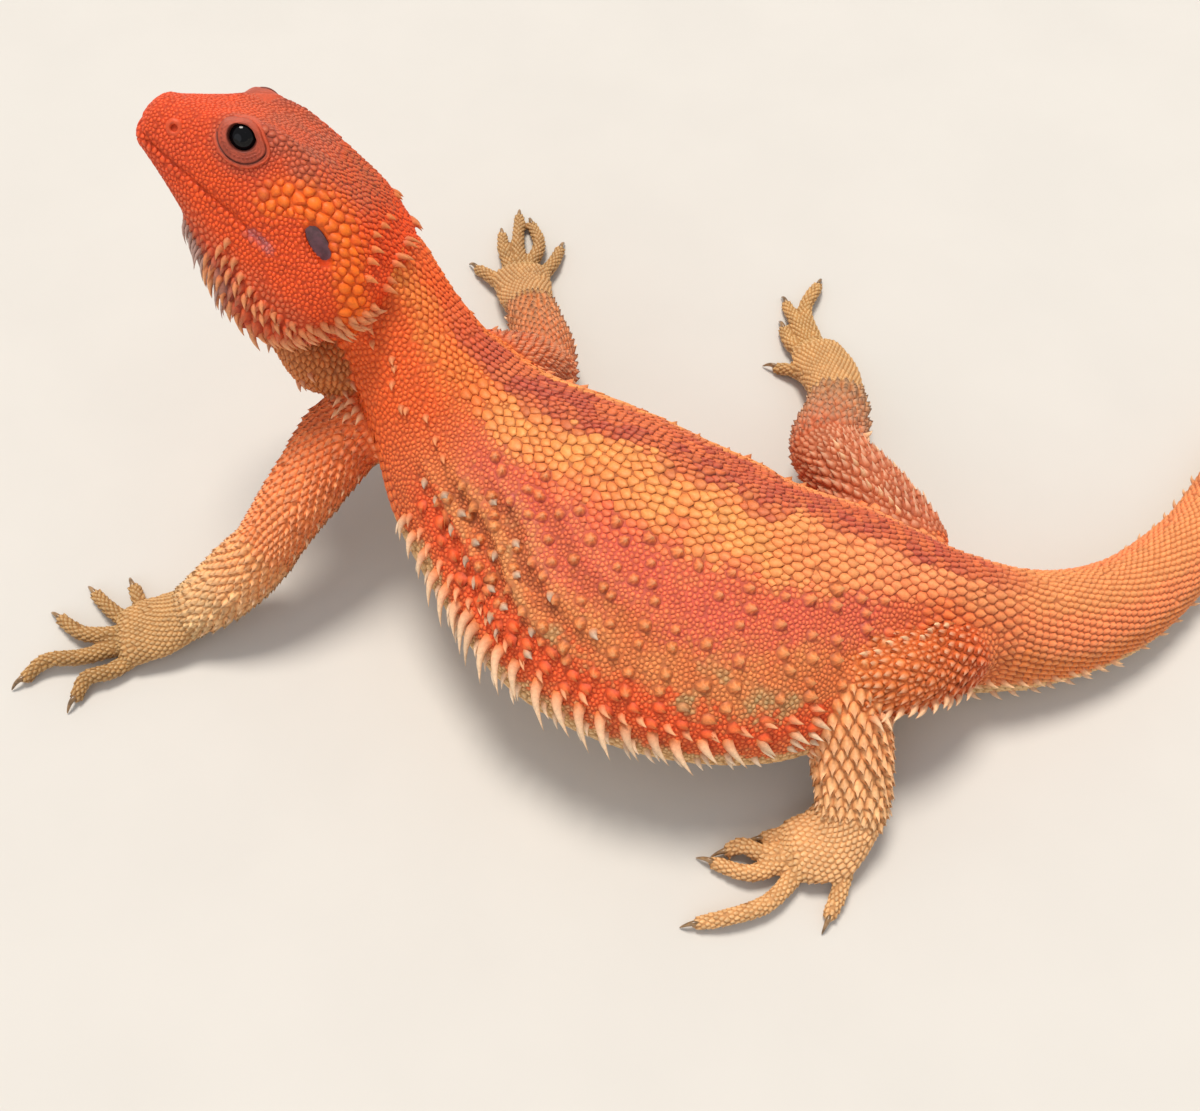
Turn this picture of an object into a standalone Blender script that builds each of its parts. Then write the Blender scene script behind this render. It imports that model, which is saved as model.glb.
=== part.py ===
"""Bearded dragon, a still life-size museum model that basks with its head raised.

The belly and tail lie on the floor, the left arm props the chest up, and the head is lifted,
turned a little away and rolled, so that its left side looks upward. Tables are in millimetres,
in a frame with the head toward -X, the left flank toward -Y, +Z up and the floor at z = 0.
"""
import math
import random

import bmesh
import bpy
import numpy as np
from mathutils import Matrix, Vector
from mathutils.bvhtree import BVHTree

MM = 0.001
ORIGIN = (35.0, -8.0, 0.0)     # the table point that lies at the world's origin
GAP = 0.3                       # clearance between touching nodes
SEED = 7                        # of the small random changes in the spines

# The body's spine line, from the tip of the tail to the inside of the head.
# x, y, z, half width, rise above and drop below the widest line, upper and lower shape, roll.
# A shape of 2 is an ellipse, less is more like a roof and more is boxier.
BODY = (
    (272.0, 97.0, 1.3, 1.0, 1.0, 1.4, 2.0, 2.0, 0),
    (244.0, 88.0, 2.2, 2.2, 2.2, 2.4, 2.0, 2.0, 0),
    (216.0, 72.0, 3.4, 3.7, 3.7, 3.6, 2.0, 2.0, 0),
    (190.0, 50.0, 4.7, 5.3, 5.2, 4.9, 2.0, 2.0, 0),
    (167.0, 24.0, 6.2, 7.2, 7.2, 6.4, 2.0, 2.0, 0),
    (146.5, -2.0, 8.0, 9.0, 9.4, 8.2, 2.0, 2.2, 0),
    (120.0, -22.0, 9.8, 11.6, 13.0, 10.0, 2.0, 2.3, 2),
    (98.0, -28.0, 12.0, 13.4, 17.0, 12.2, 2.0, 2.4, 4),
    (80.0, -28.0, 14.0, 16.0, 21.5, 14.2, 1.9, 2.5, 8),
    (60.0, -26.0, 15.0, 27.0, 27.4, 15.4, 1.75, 2.5, 13),
    (34.0, -25.6, 16.0, 42.0, 35.0, 16.6, 1.62, 2.7, 19),
    (8.0, -17.8, 18.0, 44.0, 38.0, 18.6, 1.62, 2.7, 20),
    (-14.0, -4.0, 24.0, 36.0, 36.0, 20.0, 1.75, 2.3, 20),
    (-28.0, 7.0, 34.0, 27.0, 28.5, 21.0, 1.9, 2.1, 21),
    (-38.0, 17.5, 45.5, 19.0, 19.5, 15.0, 2.0, 2.0, 24),
    (-46.0, 27.5, 56.0, 15.0, 15.5, 12.5, 2.0, 2.0, 28),
    (-53.0, 35.0, 65.5, 15.5, 15.0, 13.0, 2.0, 2.0, 30),
)
# Where the spine line is parted, each as a station counted from the tip of the tail.
BODY_NODES = (("tail_tip", 0, 2), ("tail_end", 2, 4), ("tail_middle", 4, 6), ("tail_base", 6, 8),
              ("torso", 8, 14), ("neck", 14, 16))
BODY_SIDES = {"tail_tip": 8, "tail_end": 10, "tail_middle": 14, "tail_base": 16, "torso": 26, "neck": 20}
BODY_STEP = {"tail_tip": 7.0, "tail_end": 7.0, "tail_middle": 7.0, "tail_base": 7.0, "torso": 7.0, "neck": 6.0}

# The head's own frame: where its middle lies and how it is turned.
HEAD_AT = (-61.2, 40.9, 75.2)
HEAD_YAW = 18.5                 # away from the left flank
HEAD_PITCH = 37.0
HEAD_ROLL = 31.0
HEAD_FRONT = 38.8               # where the snout starts to round off
HEAD_BACK = -15.0
SNOUT_ROUND = 3.6
NAPE_ROUND = 5.0
# Lines along the head as (forward, left, up), from the middle of the crown to that of the chin.
HEAD_LINES = {
    "crown": ((41, 0, 1.2), (36, 0, 5.0), (31, 0, 8.4), (27, 0, 10.8), (23, 0, 12.4), (17, 0, 13.8),
              (3, 0, 14.6), (-8, 0, 13.8), (-15, 0, 11.4)),
    "crown_side": ((41, 2.6, 1.0), (36, 3.4, 4.8), (31, 4.0, 8.2), (27, 4.8, 10.8), (23, 5.4, 12.4),
                   (17, 5.8, 13.9), (3, 6.2, 14.4), (-8, 6.3, 13.4), (-15, 5.8, 11.0)),
    "brow": ((41, 4.8, 0.0), (36, 6.4, 3.6), (31, 8.2, 7.4), (27, 9.6, 10.8), (23, 10.6, 13.0),
             (17, 11.4, 14.6), (10, 12.2, 14.2), (3, 12.8, 13.2), (-8, 12.6, 11.6), (-15, 11.0, 9.4)),
    "orbit": ((41, 5.9, -1.8), (36, 8.4, 0.2), (31, 10.4, 3.6), (27, 12.0, 7.0), (23, 13.2, 9.0),
              (17, 14.4, 9.2), (10, 16.6, 8.8), (3, 19.0, 7.6), (-8, 21.0, 5.5), (-15, 18.6, 4.2)),
    "cheek": ((41, 6.4, -3.8), (36, 9.1, -3.2), (31, 11.4, -1.8), (27, 13.4, -0.4), (23, 15.2, 0.6),
              (17, 17.2, 1.2), (10, 19.4, 2.0), (3, 20.8, 2.6), (-8, 23.4, 1.0), (-15, 22.0, 0.2)),
    "lip": ((41, 6.2, -6.0), (36, 9.0, -5.7), (31, 11.2, -5.2), (23, 15.0, -4.4), (17, 17.4, -3.9),
            (10, 19.8, -3.8), (3, 21.9, -4.0), (-8, 24.4, -4.5), (-15, 23.2, -5.0)),
    "jaw": ((41, 5.4, -7.8), (36, 8.0, -8.2), (31, 10.2, -8.7), (23, 14.0, -9.8), (17, 16.8, -10.6),
            (10, 20.0, -11.6), (3, 22.6, -12.6), (-8, 24.2, -11.5), (-15, 21.0, -9.5)),
    "jaw_edge": ((41, 3.8, -8.8), (36, 5.8, -10.0), (31, 7.9, -11.4), (23, 11.4, -14.0),
                 (17, 14.3, -16.4), (10, 17.5, -19.4), (3, 20.0, -21.4), (-8, 20.6, -18.4),
                 (-15, 16.8, -13.5)),
    "chin": ((41, 0, -9.4), (36, 0, -10.8), (31, 0, -12.2), (23, 0, -15.3), (17, 0, -18.0),
             (10, 0, -21.4), (3, 0, -23.8), (-8, 0, -21.2), (-15, 0, -15.5)),
}
EYE_AT = (23.6, 13.0, 9.6)      # middle of the lids on the head's surface
EYE_AXIS = (0.10, 0.95, 0.28)
EYE_OPENING = 2.9
LID_RADIUS = 6.1
LID_RISE = 1.7
EAR_AT = (-0.2, 20.6, 3.7)
EAR_AXIS = (-0.10, 0.96, 0.22)
EAR_LONG = 4.6
EAR_WIDE = 1.8
EAR_SLANT = 26.0                # degrees from the head's long axis
NOSTRIL_AT = (35.2, 8.4, 0.4)
NOSTRIL_RADIUS = 0.75
MOUTH_CORNER = 8.0
MOUTH_GROOVE = (1.1, 0.5)       # depth and width
BEARD = ((6, 0, -16.0, 12.0, 6.5), (-5, 0, -20.5, 16.0, 9.5), (-16, 0, -23.0, 17.0, 11.0),
         (-25, 0, -21.0, 14.5, 9.5))     # forward, left, up, half width, half height

# Limbs as x, y, z, half width, half height along each length.
LIMBS = {
    "upper_arm_left": ((-46.0, 16.0, 40.0, 10.0, 10.0), (-58.0, 11.0, 38.5, 9.6, 9.4),
                       (-67.5, 0.2, 33.0, 8.6, 8.0), (-78.0, -11.4, 24.0, 7.4, 7.2)),
    "forearm_left": ((-78.0, -11.6, 23.0, 7.4, 7.2), (-86.5, -15.5, 16.0, 8.5, 6.8),
                     (-94.5, -18.9, 10.6, 7.8, 5.4), (-99.2, -20.6, 8.2, 7.0, 4.6)),
    "upper_arm_right": ((-27.0, 24.0, 44.0, 9.5, 9.5), (-19.3, 33.3, 34.0, 8.5, 8.5),
                        (-13.0, 43.0, 20.0, 7.0, 7.0)),
    "forearm_right": ((-13.0, 43.0, 19.0, 7.0, 7.2), (-14.8, 56.0, 14.0, 7.8, 6.6),
                      (-17.7, 68.5, 10.0, 7.4, 5.4), (-19.4, 77.0, 8.0, 6.8, 4.6)),
    "thigh_left": ((79.0, -36.5, 21.0, 10.5, 10.5), (73.5, -40.0, 22.5, 10.5, 10.5),
                   (64.0, -45.0, 26.0, 9.8, 9.8), (53.5, -48.0, 27.0, 8.4, 8.6)),
    "shin_left": ((53.5, -48.5, 26.0, 8.6, 8.4), (54.5, -57.0, 20.0, 9.0, 7.8),
                  (55.6, -66.0, 12.8, 8.2, 6.6), (55.6, -72.0, 9.2, 7.4, 5.6)),
    "thigh_right": ((72.5, -10.0, 20.0, 10.5, 10.0), (68.5, -4.0, 21.0, 10.5, 10.0),
                    (62.5, 5.0, 23.0, 9.6, 9.6), (55.0, 14.5, 24.5, 8.4, 8.6)),
    "shin_right": ((55.5, 15.5, 24.0, 8.6, 8.4), (58.0, 24.0, 18.5, 9.0, 7.8),
                   (61.5, 35.0, 12.4, 8.2, 6.6), (63.3, 43.5, 8.8, 7.4, 5.6)),
}
# Palms and soles, then each digit from its knuckle to its tip as x, y, z.
HANDS = {
    "hand_left": {
        "palm": ((-98.5, -20.6, 7.8, 7.0, 4.6), (-107.0, -23.4, 5.2, 8.4, 3.9), (-113.5, -25.2, 4.0, 7.8, 3.1)),
        "digits": (((-109.0, -20.4, 3.1), (-113.2, -15.5, 3.3), (-116.1, -10.5, 1.5)),
                   ((-113.5, -22.0, 3.2), (-120.7, -16.9, 3.1), (-125.2, -12.4, 1.5)),
                   ((-114.5, -24.0, 3.2), (-126.0, -23.8, 3.3), (-132.4, -19.3, 1.5)),
                   ((-113.0, -26.4, 3.2), (-124.6, -30.2, 3.3), (-134.0, -31.8, 3.2), (-137.6, -35.0, 1.5)),
                   ((-109.8, -28.0, 3.2), (-117.2, -34.0, 3.1), (-122.6, -36.2, 3.4), (-124.4, -40.0, 1.5))),
    },
    "hand_right": {
        "palm": ((-19.4, 76.5, 7.8, 6.8, 4.6), (-21.8, 86.0, 5.2, 8.2, 3.9), (-22.4, 92.5, 4.0, 7.6, 3.1)),
        "digits": (((-26.0, 86.6, 3.1), (-32.4, 93.1, 3.1), (-35.5, 96.4, 1.5)),
                   ((-25.4, 93.5, 3.2), (-28.1, 102.8, 3.1), (-29.0, 109.6, 1.5)),
                   ((-23.2, 95.0, 3.2), (-24.1, 106.1, 3.3), (-24.2, 117.2, 1.5)),
                   ((-20.6, 95.0, 3.2), (-17.9, 105.3, 3.3), (-20.3, 113.9, 1.5)),
                   ((-18.2, 90.6, 3.2), (-13.9, 97.2, 3.1), (-11.8, 103.9, 1.5))),
    },
    "foot_left": {
        "palm": ((55.4, -72.5, 8.2, 7.2, 5.4), (50.6, -76.6, 5.6, 8.4, 4.4), (44.5, -78.8, 4.2, 7.8, 3.4)),
        "digits": (((48.0, -74.8, 3.1), (41.1, -74.3, 3.1), (36.6, -74.9, 1.5)),
                   ((44.4, -77.2, 3.2), (36.4, -78.9, 3.3), (31.0, -77.0, 3.4), (28.8, -77.6, 1.5)),
                   ((43.0, -79.6, 3.2), (32.4, -83.2, 3.3), (25.4, -80.5, 1.5)),
                   ((44.4, -81.6, 3.2), (36.7, -89.6, 3.3), (26.3, -93.1, 3.0), (21.5, -93.8, 1.5)),
                   ((54.6, -78.5, 3.3), (51.9, -88.0, 3.1), (49.9, -92.0, 1.5))),
    },
    "foot_right": {
        "palm": ((63.6, 44.5, 8.2, 7.2, 5.4), (62.4, 54.5, 5.6, 8.2, 4.4), (60.0, 63.5, 4.2, 7.2, 3.4)),
        "digits": (((59.4, 53.0, 3.1), (53.0, 57.9, 3.1), (49.2, 59.6, 1.5)),
                   ((57.6, 61.6, 3.2), (53.2, 67.5, 3.1), (51.9, 73.3, 1.5)),
                   ((58.2, 65.4, 3.2), (55.4, 74.5, 3.3), (53.4, 82.6, 1.5)),
                   ((60.4, 67.0, 3.2), (58.4, 80.5, 3.3), (61.6, 87.0, 3.0), (62.8, 89.6, 1.5)),
                   ((65.4, 52.0, 3.3), (69.0, 46.5, 3.4), (70.6, 42.0, 1.5))),
    },
}
SPINE_SINK = 1.2                # depth of a spine's root, in spine radii
# Rows of spines along the body, as (station, angle up from its left edge).
FRINGE = ((13.05, -10), (12.8, -8), (12.4, -6), (11.85, 0), (11.5, 1), (11.1, 1), (10.45, 0), (10.1, 2),
          (9.95, 5), (9.6, 12))
SHOULDER_ROW = ((13.8, 30), (13.4, 34))
NECK_ROW = ((15.2, 20), (14.4, 24))
# Rows of head spines, as points of the head's frame near its surface.
BEARD_ROW = ((15, 15, -16.5), (8, 18, -20), (0, 20.5, -21), (-7, 22.5, -17.5), (-12.5, 23.5, -11.5),
             (-17, 22.5, -6.5), (-19, 19.5, -1.5))
CHIN_ROW = ((20, 9, -15.5), (12, 13.5, -20), (4, 15.5, -23), (-6, 15.5, -22))
NAPE_ROW = ((-17, 17.5, 4), (-16.5, 13, 8.5), (-16.5, 7, 11.0))
TEMPLE_ROW = ((-4, 21.5, 8), (-9, 19.5, 9.5), (-14, 16.5, 9))
DIGIT_NAMES = ("i", "ii", "iii", "iv", "v")
DIGIT_RADIUS = 2.3
DIGIT_TAPER = 0.72              # of that radius at the tip
CLAW_LENGTH = 4.6
CLAW_RADIUS = 0.95

COLOURS = {
    "skin": (0.80, 0.30, 0.07),
    "digit_skin": (0.72, 0.50, 0.20),
    "eye": (0.02, 0.02, 0.03),
    "ear_drum": (0.16, 0.08, 0.11),
    "claw": (0.30, 0.17, 0.09),
}

DICE = random.Random(SEED)


def place(point):
    """A table point in millimetres as a world point in metres."""
    return Vector([(c - o) * MM for c, o in zip(point, ORIGIN)])


def through(table, step):
    """Rows on a smooth curve through a table's rows, about a step apart."""
    rows = np.array(table, float)
    along = np.r_[0.0, np.cumsum(np.linalg.norm(np.diff(rows[:, :3], axis=0), axis=1))]
    count = max(2, int(round(along[-1] / step)) + 1)
    return smooth(rows, along, np.linspace(0.0, along[-1], count))


def smooth(rows, along, where):
    """Cubic interpolation of rows that belong to the places along, at the places where."""
    slope = np.gradient(rows, along, axis=0)
    index = np.clip(np.searchsorted(along, where, side="right") - 1, 0, len(along) - 2)
    width = (along[index + 1] - along[index])[:, None]
    t = ((where - along[index])[:, None]) / width
    a, b = rows[index], rows[index + 1]
    p, q = slope[index] * width, slope[index + 1] * width
    return (a * (1 + 2 * t) * (1 - t) ** 2 + p * t * (1 - t) ** 2
            + b * t * t * (3 - 2 * t) - q * t * t * (1 - t))


def unit(vector):
    return vector / np.linalg.norm(vector)


def frames(centres, rolls):
    """Left and up vectors of each ring on a line of centres, rolled with the left side up."""
    tangents = np.gradient(centres, axis=0)
    lefts, ups = [], []
    for tangent, roll in zip(tangents, np.radians(rolls)):
        ahead = unit(tangent)
        left = unit(np.cross((0.0, 0.0, 1.0), ahead))
        up = np.cross(ahead, left)
        lefts.append(left * math.cos(roll) + up * math.sin(roll))
        ups.append(up * math.cos(roll) - left * math.sin(roll))
    return lefts, ups


def section(angle, half_width, rise, drop, upper, lower):
    """A point of a rounded section, as left and up."""
    c, s = math.cos(angle), math.sin(angle)
    power, height = (2.0 / upper, rise) if s >= 0 else (2.0 / lower, drop)
    return (half_width * math.copysign(abs(c) ** power, c), height * math.copysign(abs(s) ** power, s))


def new_object(name, bm):
    bmesh.ops.triangulate(bm, faces=bm.faces)
    bmesh.ops.recalc_face_normals(bm, faces=bm.faces)
    mesh = bpy.data.meshes.new(name)
    bm.to_mesh(mesh)
    bm.free()
    obj = bpy.data.objects.new(name, mesh)
    bpy.context.scene.collection.objects.link(obj)
    return obj


def loft(name, rings):
    """A closed solid through rings of world points, closed by a fan at each end."""
    bm = bmesh.new()
    rows = [[bm.verts.new(p) for p in ring] for ring in rings]
    for a, b in zip(rows, rows[1:]):
        for i in range(len(a)):
            j = (i + 1) % len(a)
            bm.faces.new((a[i], a[j], b[j], b[i]))
    for row in (rows[0], rows[-1]):
        middle = bm.verts.new(sum((v.co for v in row), Vector()) / len(row))
        for i in range(len(row)):
            bm.faces.new((row[i], row[(i + 1) % len(row)], middle))
    return new_object(name, bm)


def body_line():
    """The spine line's rows and how far along it each station lies."""
    rows = np.array(BODY, float)
    along = np.r_[0.0, np.cumsum(np.linalg.norm(np.diff(rows[:, :3], axis=0), axis=1))]
    return rows, along


def body_ring(row, left, up, sides):
    ring = []
    for i in range(sides):
        side, height = section(2 * math.pi * (i + 0.5) / sides, *row[3:8])
        ring.append(place(row[:3] + left * side + up * height))
    return ring


def body_length(name, first, last):
    """One length of the body between two stations, half a gap short at each end."""
    rows, along = body_line()
    ends = along[first] + GAP / 2, along[last] - GAP / 2
    count = int(round((ends[1] - ends[0]) / BODY_STEP[name])) + 1
    where = np.linspace(ends[0], ends[1], count)
    here = smooth(rows, along, where)
    ahead = smooth(rows, along, np.minimum(where + 1.0, along[-1]))
    behind = smooth(rows, along, np.maximum(where - 1.0, 0.0))
    rings = []
    for row, a, b in zip(here, ahead, behind):
        lefts, ups = frames(np.array([b[:3], a[:3]]), (row[8], row[8]))
        rings.append(body_ring(row, lefts[0], ups[0], BODY_SIDES[name]))
    return loft(name, rings)


def tube(name, table, sides, step, round_start=True, round_end=True, cap_angles=(35, 65)):
    """A closed limb through rows of x, y, z, half width and half height, in table units."""
    rows = through(table, step)
    lefts, ups = frames(rows[:, :3], np.zeros(len(rows)))
    tangents = [np.cross(left, up) for left, up in zip(lefts, ups)]
    rings = []

    def ring(row, left, up, shift, scale):
        points = []
        for i in range(sides):
            angle = 2 * math.pi * (i + 0.5) / sides
            points.append(place(row[:3] + shift + left * (math.cos(angle) * row[3] * scale)
                                + up * (math.sin(angle) * row[4] * scale)))
        return points

    caps = [(math.sin(math.radians(a)), math.cos(math.radians(a))) for a in cap_angles]
    if round_start:
        for far, scale in reversed(caps):
            shift = -unit(rows[1][:3] - rows[0][:3]) * rows[0][4] * far
            rings.append(ring(rows[0], lefts[0], ups[0], shift, scale))
    rings += [ring(row, left, up, 0.0, 1.0) for row, left, up in zip(rows, lefts, ups)]
    if round_end:
        for far, scale in caps:
            shift = unit(rows[-1][:3] - rows[-2][:3]) * rows[-1][4] * far
            rings.append(ring(rows[-1], lefts[-1], ups[-1], shift, scale))
    return loft(name, rings)


def head_axes():
    """Forward, left and up of the head."""
    yaw, pitch, roll = (math.radians(a) for a in (HEAD_YAW, HEAD_PITCH, HEAD_ROLL))
    forward = np.array((-math.cos(pitch) * math.cos(yaw), math.cos(pitch) * math.sin(yaw), math.sin(pitch)))
    left = unit(np.cross((0.0, 0.0, 1.0), forward))
    up = np.cross(forward, left)
    return forward, left * math.cos(roll) + up * math.sin(roll), up * math.cos(roll) - left * math.sin(roll)


def head_point(forward, left, up):
    """A point of the head's frame in table units."""
    f, l, u = head_axes()
    return np.array(HEAD_AT) + f * forward + l * left + u * up


def head_line(name, forward):
    """Left and up of one of the head's lines at a place along the head."""
    keys = np.array(HEAD_LINES[name], float)[::-1]
    return smooth(keys[:, 1:], keys[:, 0], np.array([forward]))[0]


def head_section(forward, scale):
    """Control points of one cross-section, all round, drawn in toward its middle by scale."""
    half = [head_line(name, forward) for name in HEAD_LINES]
    middle = (half[0] + half[-1]) / 2
    half = [middle + (p - middle) * scale for p in half]
    return half + [np.array((-p[0], p[1])) for p in half[-2:0:-1]]


def round_about(points, parts):
    """A closed smooth curve through points, with parts to each span."""
    n = len(points)
    out = []
    for i in range(n):
        a, b, c, d = (points[(i + k - 1) % n] for k in range(4))
        for t in (np.arange(parts) / parts):
            out.append(0.5 * (2 * b + (c - a) * t + (2 * a - 5 * b + 4 * c - d) * t * t
                              + (3 * b - a - 3 * c + d) * t ** 3))
    return out


def head_stations():
    """Places along the head with the scale of each section, from nape to snout."""
    out = []
    for angle in (75, 50, 25):
        a = math.radians(angle)
        out.append((HEAD_BACK, -NAPE_ROUND * math.sin(a), math.cos(a) ** 0.8))
    for forward in np.linspace(HEAD_BACK, HEAD_FRONT, 15):
        out.append((forward, 0.0, 1.0))
    for angle in (25, 50, 74):
        a = math.radians(angle)
        out.append((HEAD_FRONT, SNOUT_ROUND * math.sin(a), math.cos(a)))
    return out


def head_shell():
    rings = []
    for forward, shift, scale in head_stations():
        ring = round_about(head_section(forward, scale), 2)
        rings.append([place(head_point(forward + shift, l, u)) for l, u in ring])
    return loft("head", rings)


def head_frame(at, axis, side):
    """World matrix at a point of the head's surface, with its z axis outward, for one side."""
    at = (at[0], at[1] * side, at[2])
    axis = (axis[0], axis[1] * side, axis[2])
    f, l, u = head_axes()
    out = unit(f * axis[0] + l * axis[1] + u * axis[2])
    along = unit(f - out * np.dot(f, out))
    across = np.cross(out, along)
    matrix = Matrix((along, across, out)).transposed().to_4x4()
    matrix.translation = place(head_point(*at))
    return matrix


def disc_solid(name, matrix, radii, low, high, turn=0.0, sides=12):
    """An elliptic cylinder with its axis on the matrix's z, between two heights."""
    rings = []
    for height in (low, high):
        ring = []
        for i in range(sides):
            a = 2 * math.pi * i / sides
            point = Vector((math.cos(a) * radii[0], math.sin(a) * radii[1], height)) * MM
            ring.append(matrix @ (Matrix.Rotation(turn, 4, "Z") @ point))
        rings.append(ring)
    return loft(name, rings)


def dome_solid(name, matrix, radius, rise, low, rings_count=3, sides=16):
    """A low dome on a short straight skirt that goes down to low."""
    rings = []
    for height, scale in [(low, 1.0)] + [(rise * math.sin(a), math.cos(a)) for a in
                                         np.linspace(0, math.radians(80), rings_count)]:
        rings.append([matrix @ (Vector((math.cos(2 * math.pi * i / sides) * radius * scale,
                                        math.sin(2 * math.pi * i / sides) * radius * scale, height)) * MM)
                      for i in range(sides)])
    return loft(name, rings)


def combine(obj, others, operation, solver="MANIFOLD"):
    """Join or cut an object with a list of closed objects, which are then removed."""
    others = [o for o in others if o is not None]
    if not others:
        return obj
    group = bpy.data.collections.new("tools")
    bpy.context.scene.collection.children.link(group)
    for other in others:
        bpy.context.scene.collection.objects.unlink(other)
        group.objects.link(other)
    modifier = obj.modifiers.new("combine", "BOOLEAN")
    modifier.operation = operation
    modifier.operand_type = "COLLECTION"
    modifier.collection = group
    modifier.solver = solver
    depsgraph = bpy.context.evaluated_depsgraph_get()
    mesh = bpy.data.meshes.new_from_object(obj.evaluated_get(depsgraph))
    obj.modifiers.clear()
    old = obj.data
    obj.data = mesh
    bpy.data.meshes.remove(old)
    for other in others:
        data = other.data
        bpy.data.objects.remove(other)
        bpy.data.meshes.remove(data)
    bpy.data.collections.remove(group)
    return obj


def grown(obj, by=GAP):
    """A copy of an object with its surface moved out, to cut a neighbour clear of it."""
    bm = bmesh.new()
    bm.from_mesh(obj.data)
    bm.normal_update()
    for vert, normal in [(v, v.normal.copy()) for v in bm.verts]:
        vert.co += normal * (by * MM)
    return new_object("grown_" + obj.name, bm)


def largest_piece(obj):
    """Keep only the largest closed surface of a node and weld what fusing left split."""
    bm = bmesh.new()
    bm.from_mesh(obj.data)
    bmesh.ops.remove_doubles(bm, verts=bm.verts, dist=0.002 * MM)
    bmesh.ops.dissolve_degenerate(bm, edges=bm.edges, dist=0.002 * MM)
    bmesh.ops.triangulate(bm, faces=bm.faces)
    seen = set()
    pieces = []
    for start in bm.faces:
        if start in seen:
            continue
        piece, stack = [], [start]
        seen.add(start)
        while stack:
            face = stack.pop()
            piece.append(face)
            for edge in face.edges:
                for other in edge.link_faces:
                    if other not in seen:
                        seen.add(other)
                        stack.append(other)
        pieces.append(piece)
    keep = max(pieces, key=lambda piece: sum(f.calc_area() for f in piece))
    kept = set(keep)
    bmesh.ops.delete(bm, geom=[f for f in bm.faces if f not in kept], context="FACES")
    bmesh.ops.delete(bm, geom=[v for v in bm.verts if not v.link_faces], context="VERTS")
    bmesh.ops.recalc_face_normals(bm, faces=bm.faces)
    bm.to_mesh(obj.data)
    bm.free()


def floor_box():
    """A block whose top is the floor, which cuts the flats that the model rests on."""
    bm = bmesh.new()
    bmesh.ops.create_cube(bm, size=1.0)
    for vert in bm.verts:
        vert.co.z -= 0.5
    return new_object("floor_box", bm)


def finish_head(head):
    """Lids, eye sockets, ears, nostrils and the line of the mouth."""
    lids, cuts = [], []
    for side in (1, -1):
        eye = head_frame(EYE_AT, EYE_AXIS, side)
        lids.append(dome_solid("lids", eye, LID_RADIUS, LID_RISE, -4.0))
        cuts.append(disc_solid("socket", eye, (EYE_OPENING + GAP, EYE_OPENING + GAP), -2.4, 6.0))
        ear = head_frame(EAR_AT, EAR_AXIS, side)
        turn = -math.radians(EAR_SLANT) * side
        cuts.append(disc_solid("ear_cup", ear, (EAR_LONG, EAR_WIDE), -2.6, 5.0, turn))
        nostril = head_frame(NOSTRIL_AT, (0.25, 0.95, 0.2), side)
        cuts.append(disc_solid("nostril", nostril, (NOSTRIL_RADIUS, NOSTRIL_RADIUS), -1.8, 3.0, 0.0, 10))
    cuts.append(mouth_groove())
    combine(head, lids, "UNION")
    combine(head, cuts, "DIFFERENCE")


def mouth_path():
    """The line between the lips, from the left corner round the snout to the right one."""
    left_side = []
    for forward in np.linspace(MOUTH_CORNER, HEAD_FRONT, 9):
        left_side.append((forward, *head_line("lip", forward)))
    lip = head_line("lip", HEAD_FRONT)
    middle = (head_line("crown", HEAD_FRONT)[1] + head_line("chin", HEAD_FRONT)[1]) / 2
    for angle in (25, 50, 74):
        a = math.radians(angle)
        left_side.append((HEAD_FRONT + SNOUT_ROUND * math.sin(a), lip[0] * math.cos(a),
                          middle + (lip[1] - middle) * math.cos(a)))
    return left_side + [(f, -l, u) for f, l, u in reversed(left_side)]


def mouth_groove():
    path = np.array(mouth_path())
    steps = np.gradient(path[:, :2], axis=0)
    depth, width = MOUTH_GROOVE
    rings = []
    for (f, l, u), (df, dl) in zip(path, steps):
        out = unit(np.array((dl, -df)))
        if out @ np.array((f - 20.0, l)) < 0:
            out = -out
        corners = [(-depth, -width / 2), (1.6, -width / 2), (1.6, width / 2), (-depth, width / 2)]
        rings.append([place(head_point(f + out[0] * o, l + out[1] * o, u + h)) for o, h in corners])
    return loft("mouth_groove", rings)


def make_eye(side):
    name = "eye_left" if side > 0 else "eye_right"
    eye = head_frame(EYE_AT, EYE_AXIS, side)
    return dome_solid(name, eye, EYE_OPENING, LID_RISE + 0.9, -2.4 + GAP, 3, 14)


def make_ear_drum(side):
    name = "ear_drum_left" if side > 0 else "ear_drum_right"
    ear = head_frame(EAR_AT, EAR_AXIS, side)
    turn = -math.radians(EAR_SLANT) * side
    return disc_solid(name, ear, (EAR_LONG - GAP, EAR_WIDE - GAP), -2.6 + GAP, -1.4, turn, 12)


def make_beard():
    table = [(*head_point(*row[:3]), row[3], row[4]) for row in BEARD]
    rows = through(table, 4.5)
    f, l, u = head_axes()
    rings = []
    for k, (row, (far, scale)) in enumerate(zip(
            [rows[0]] * 2 + list(rows) + [rows[-1]] * 2,
            [(-0.9, 0.42), (-0.57, 0.82)] + [(0, 1)] * len(rows) + [(0.57, 0.82), (0.9, 0.42)])):
        tangent = unit(rows[1][:3] - rows[0][:3]) if k < 3 else unit(rows[-1][:3] - rows[-2][:3])
        up = unit(u - tangent * (u @ tangent))
        rings.append([place(row[:3] + tangent * row[4] * far
                            + l * (math.cos(a) * row[3] * scale) + up * (math.sin(a) * row[4] * scale))
                      for a in 2 * math.pi * (np.arange(16) + 0.5) / 16])
    return loft("beard", rings)


def spine_path(spec, far):
    """A point on a spine's middle line, from 0 at its root to 1 at its tip, in table units."""
    root, outward, direction, length, radius, droop, sides = spec
    return root + direction * (far * length) - np.array((0.0, 0.0, droop * length * max(far, 0.0) ** 2))


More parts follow.
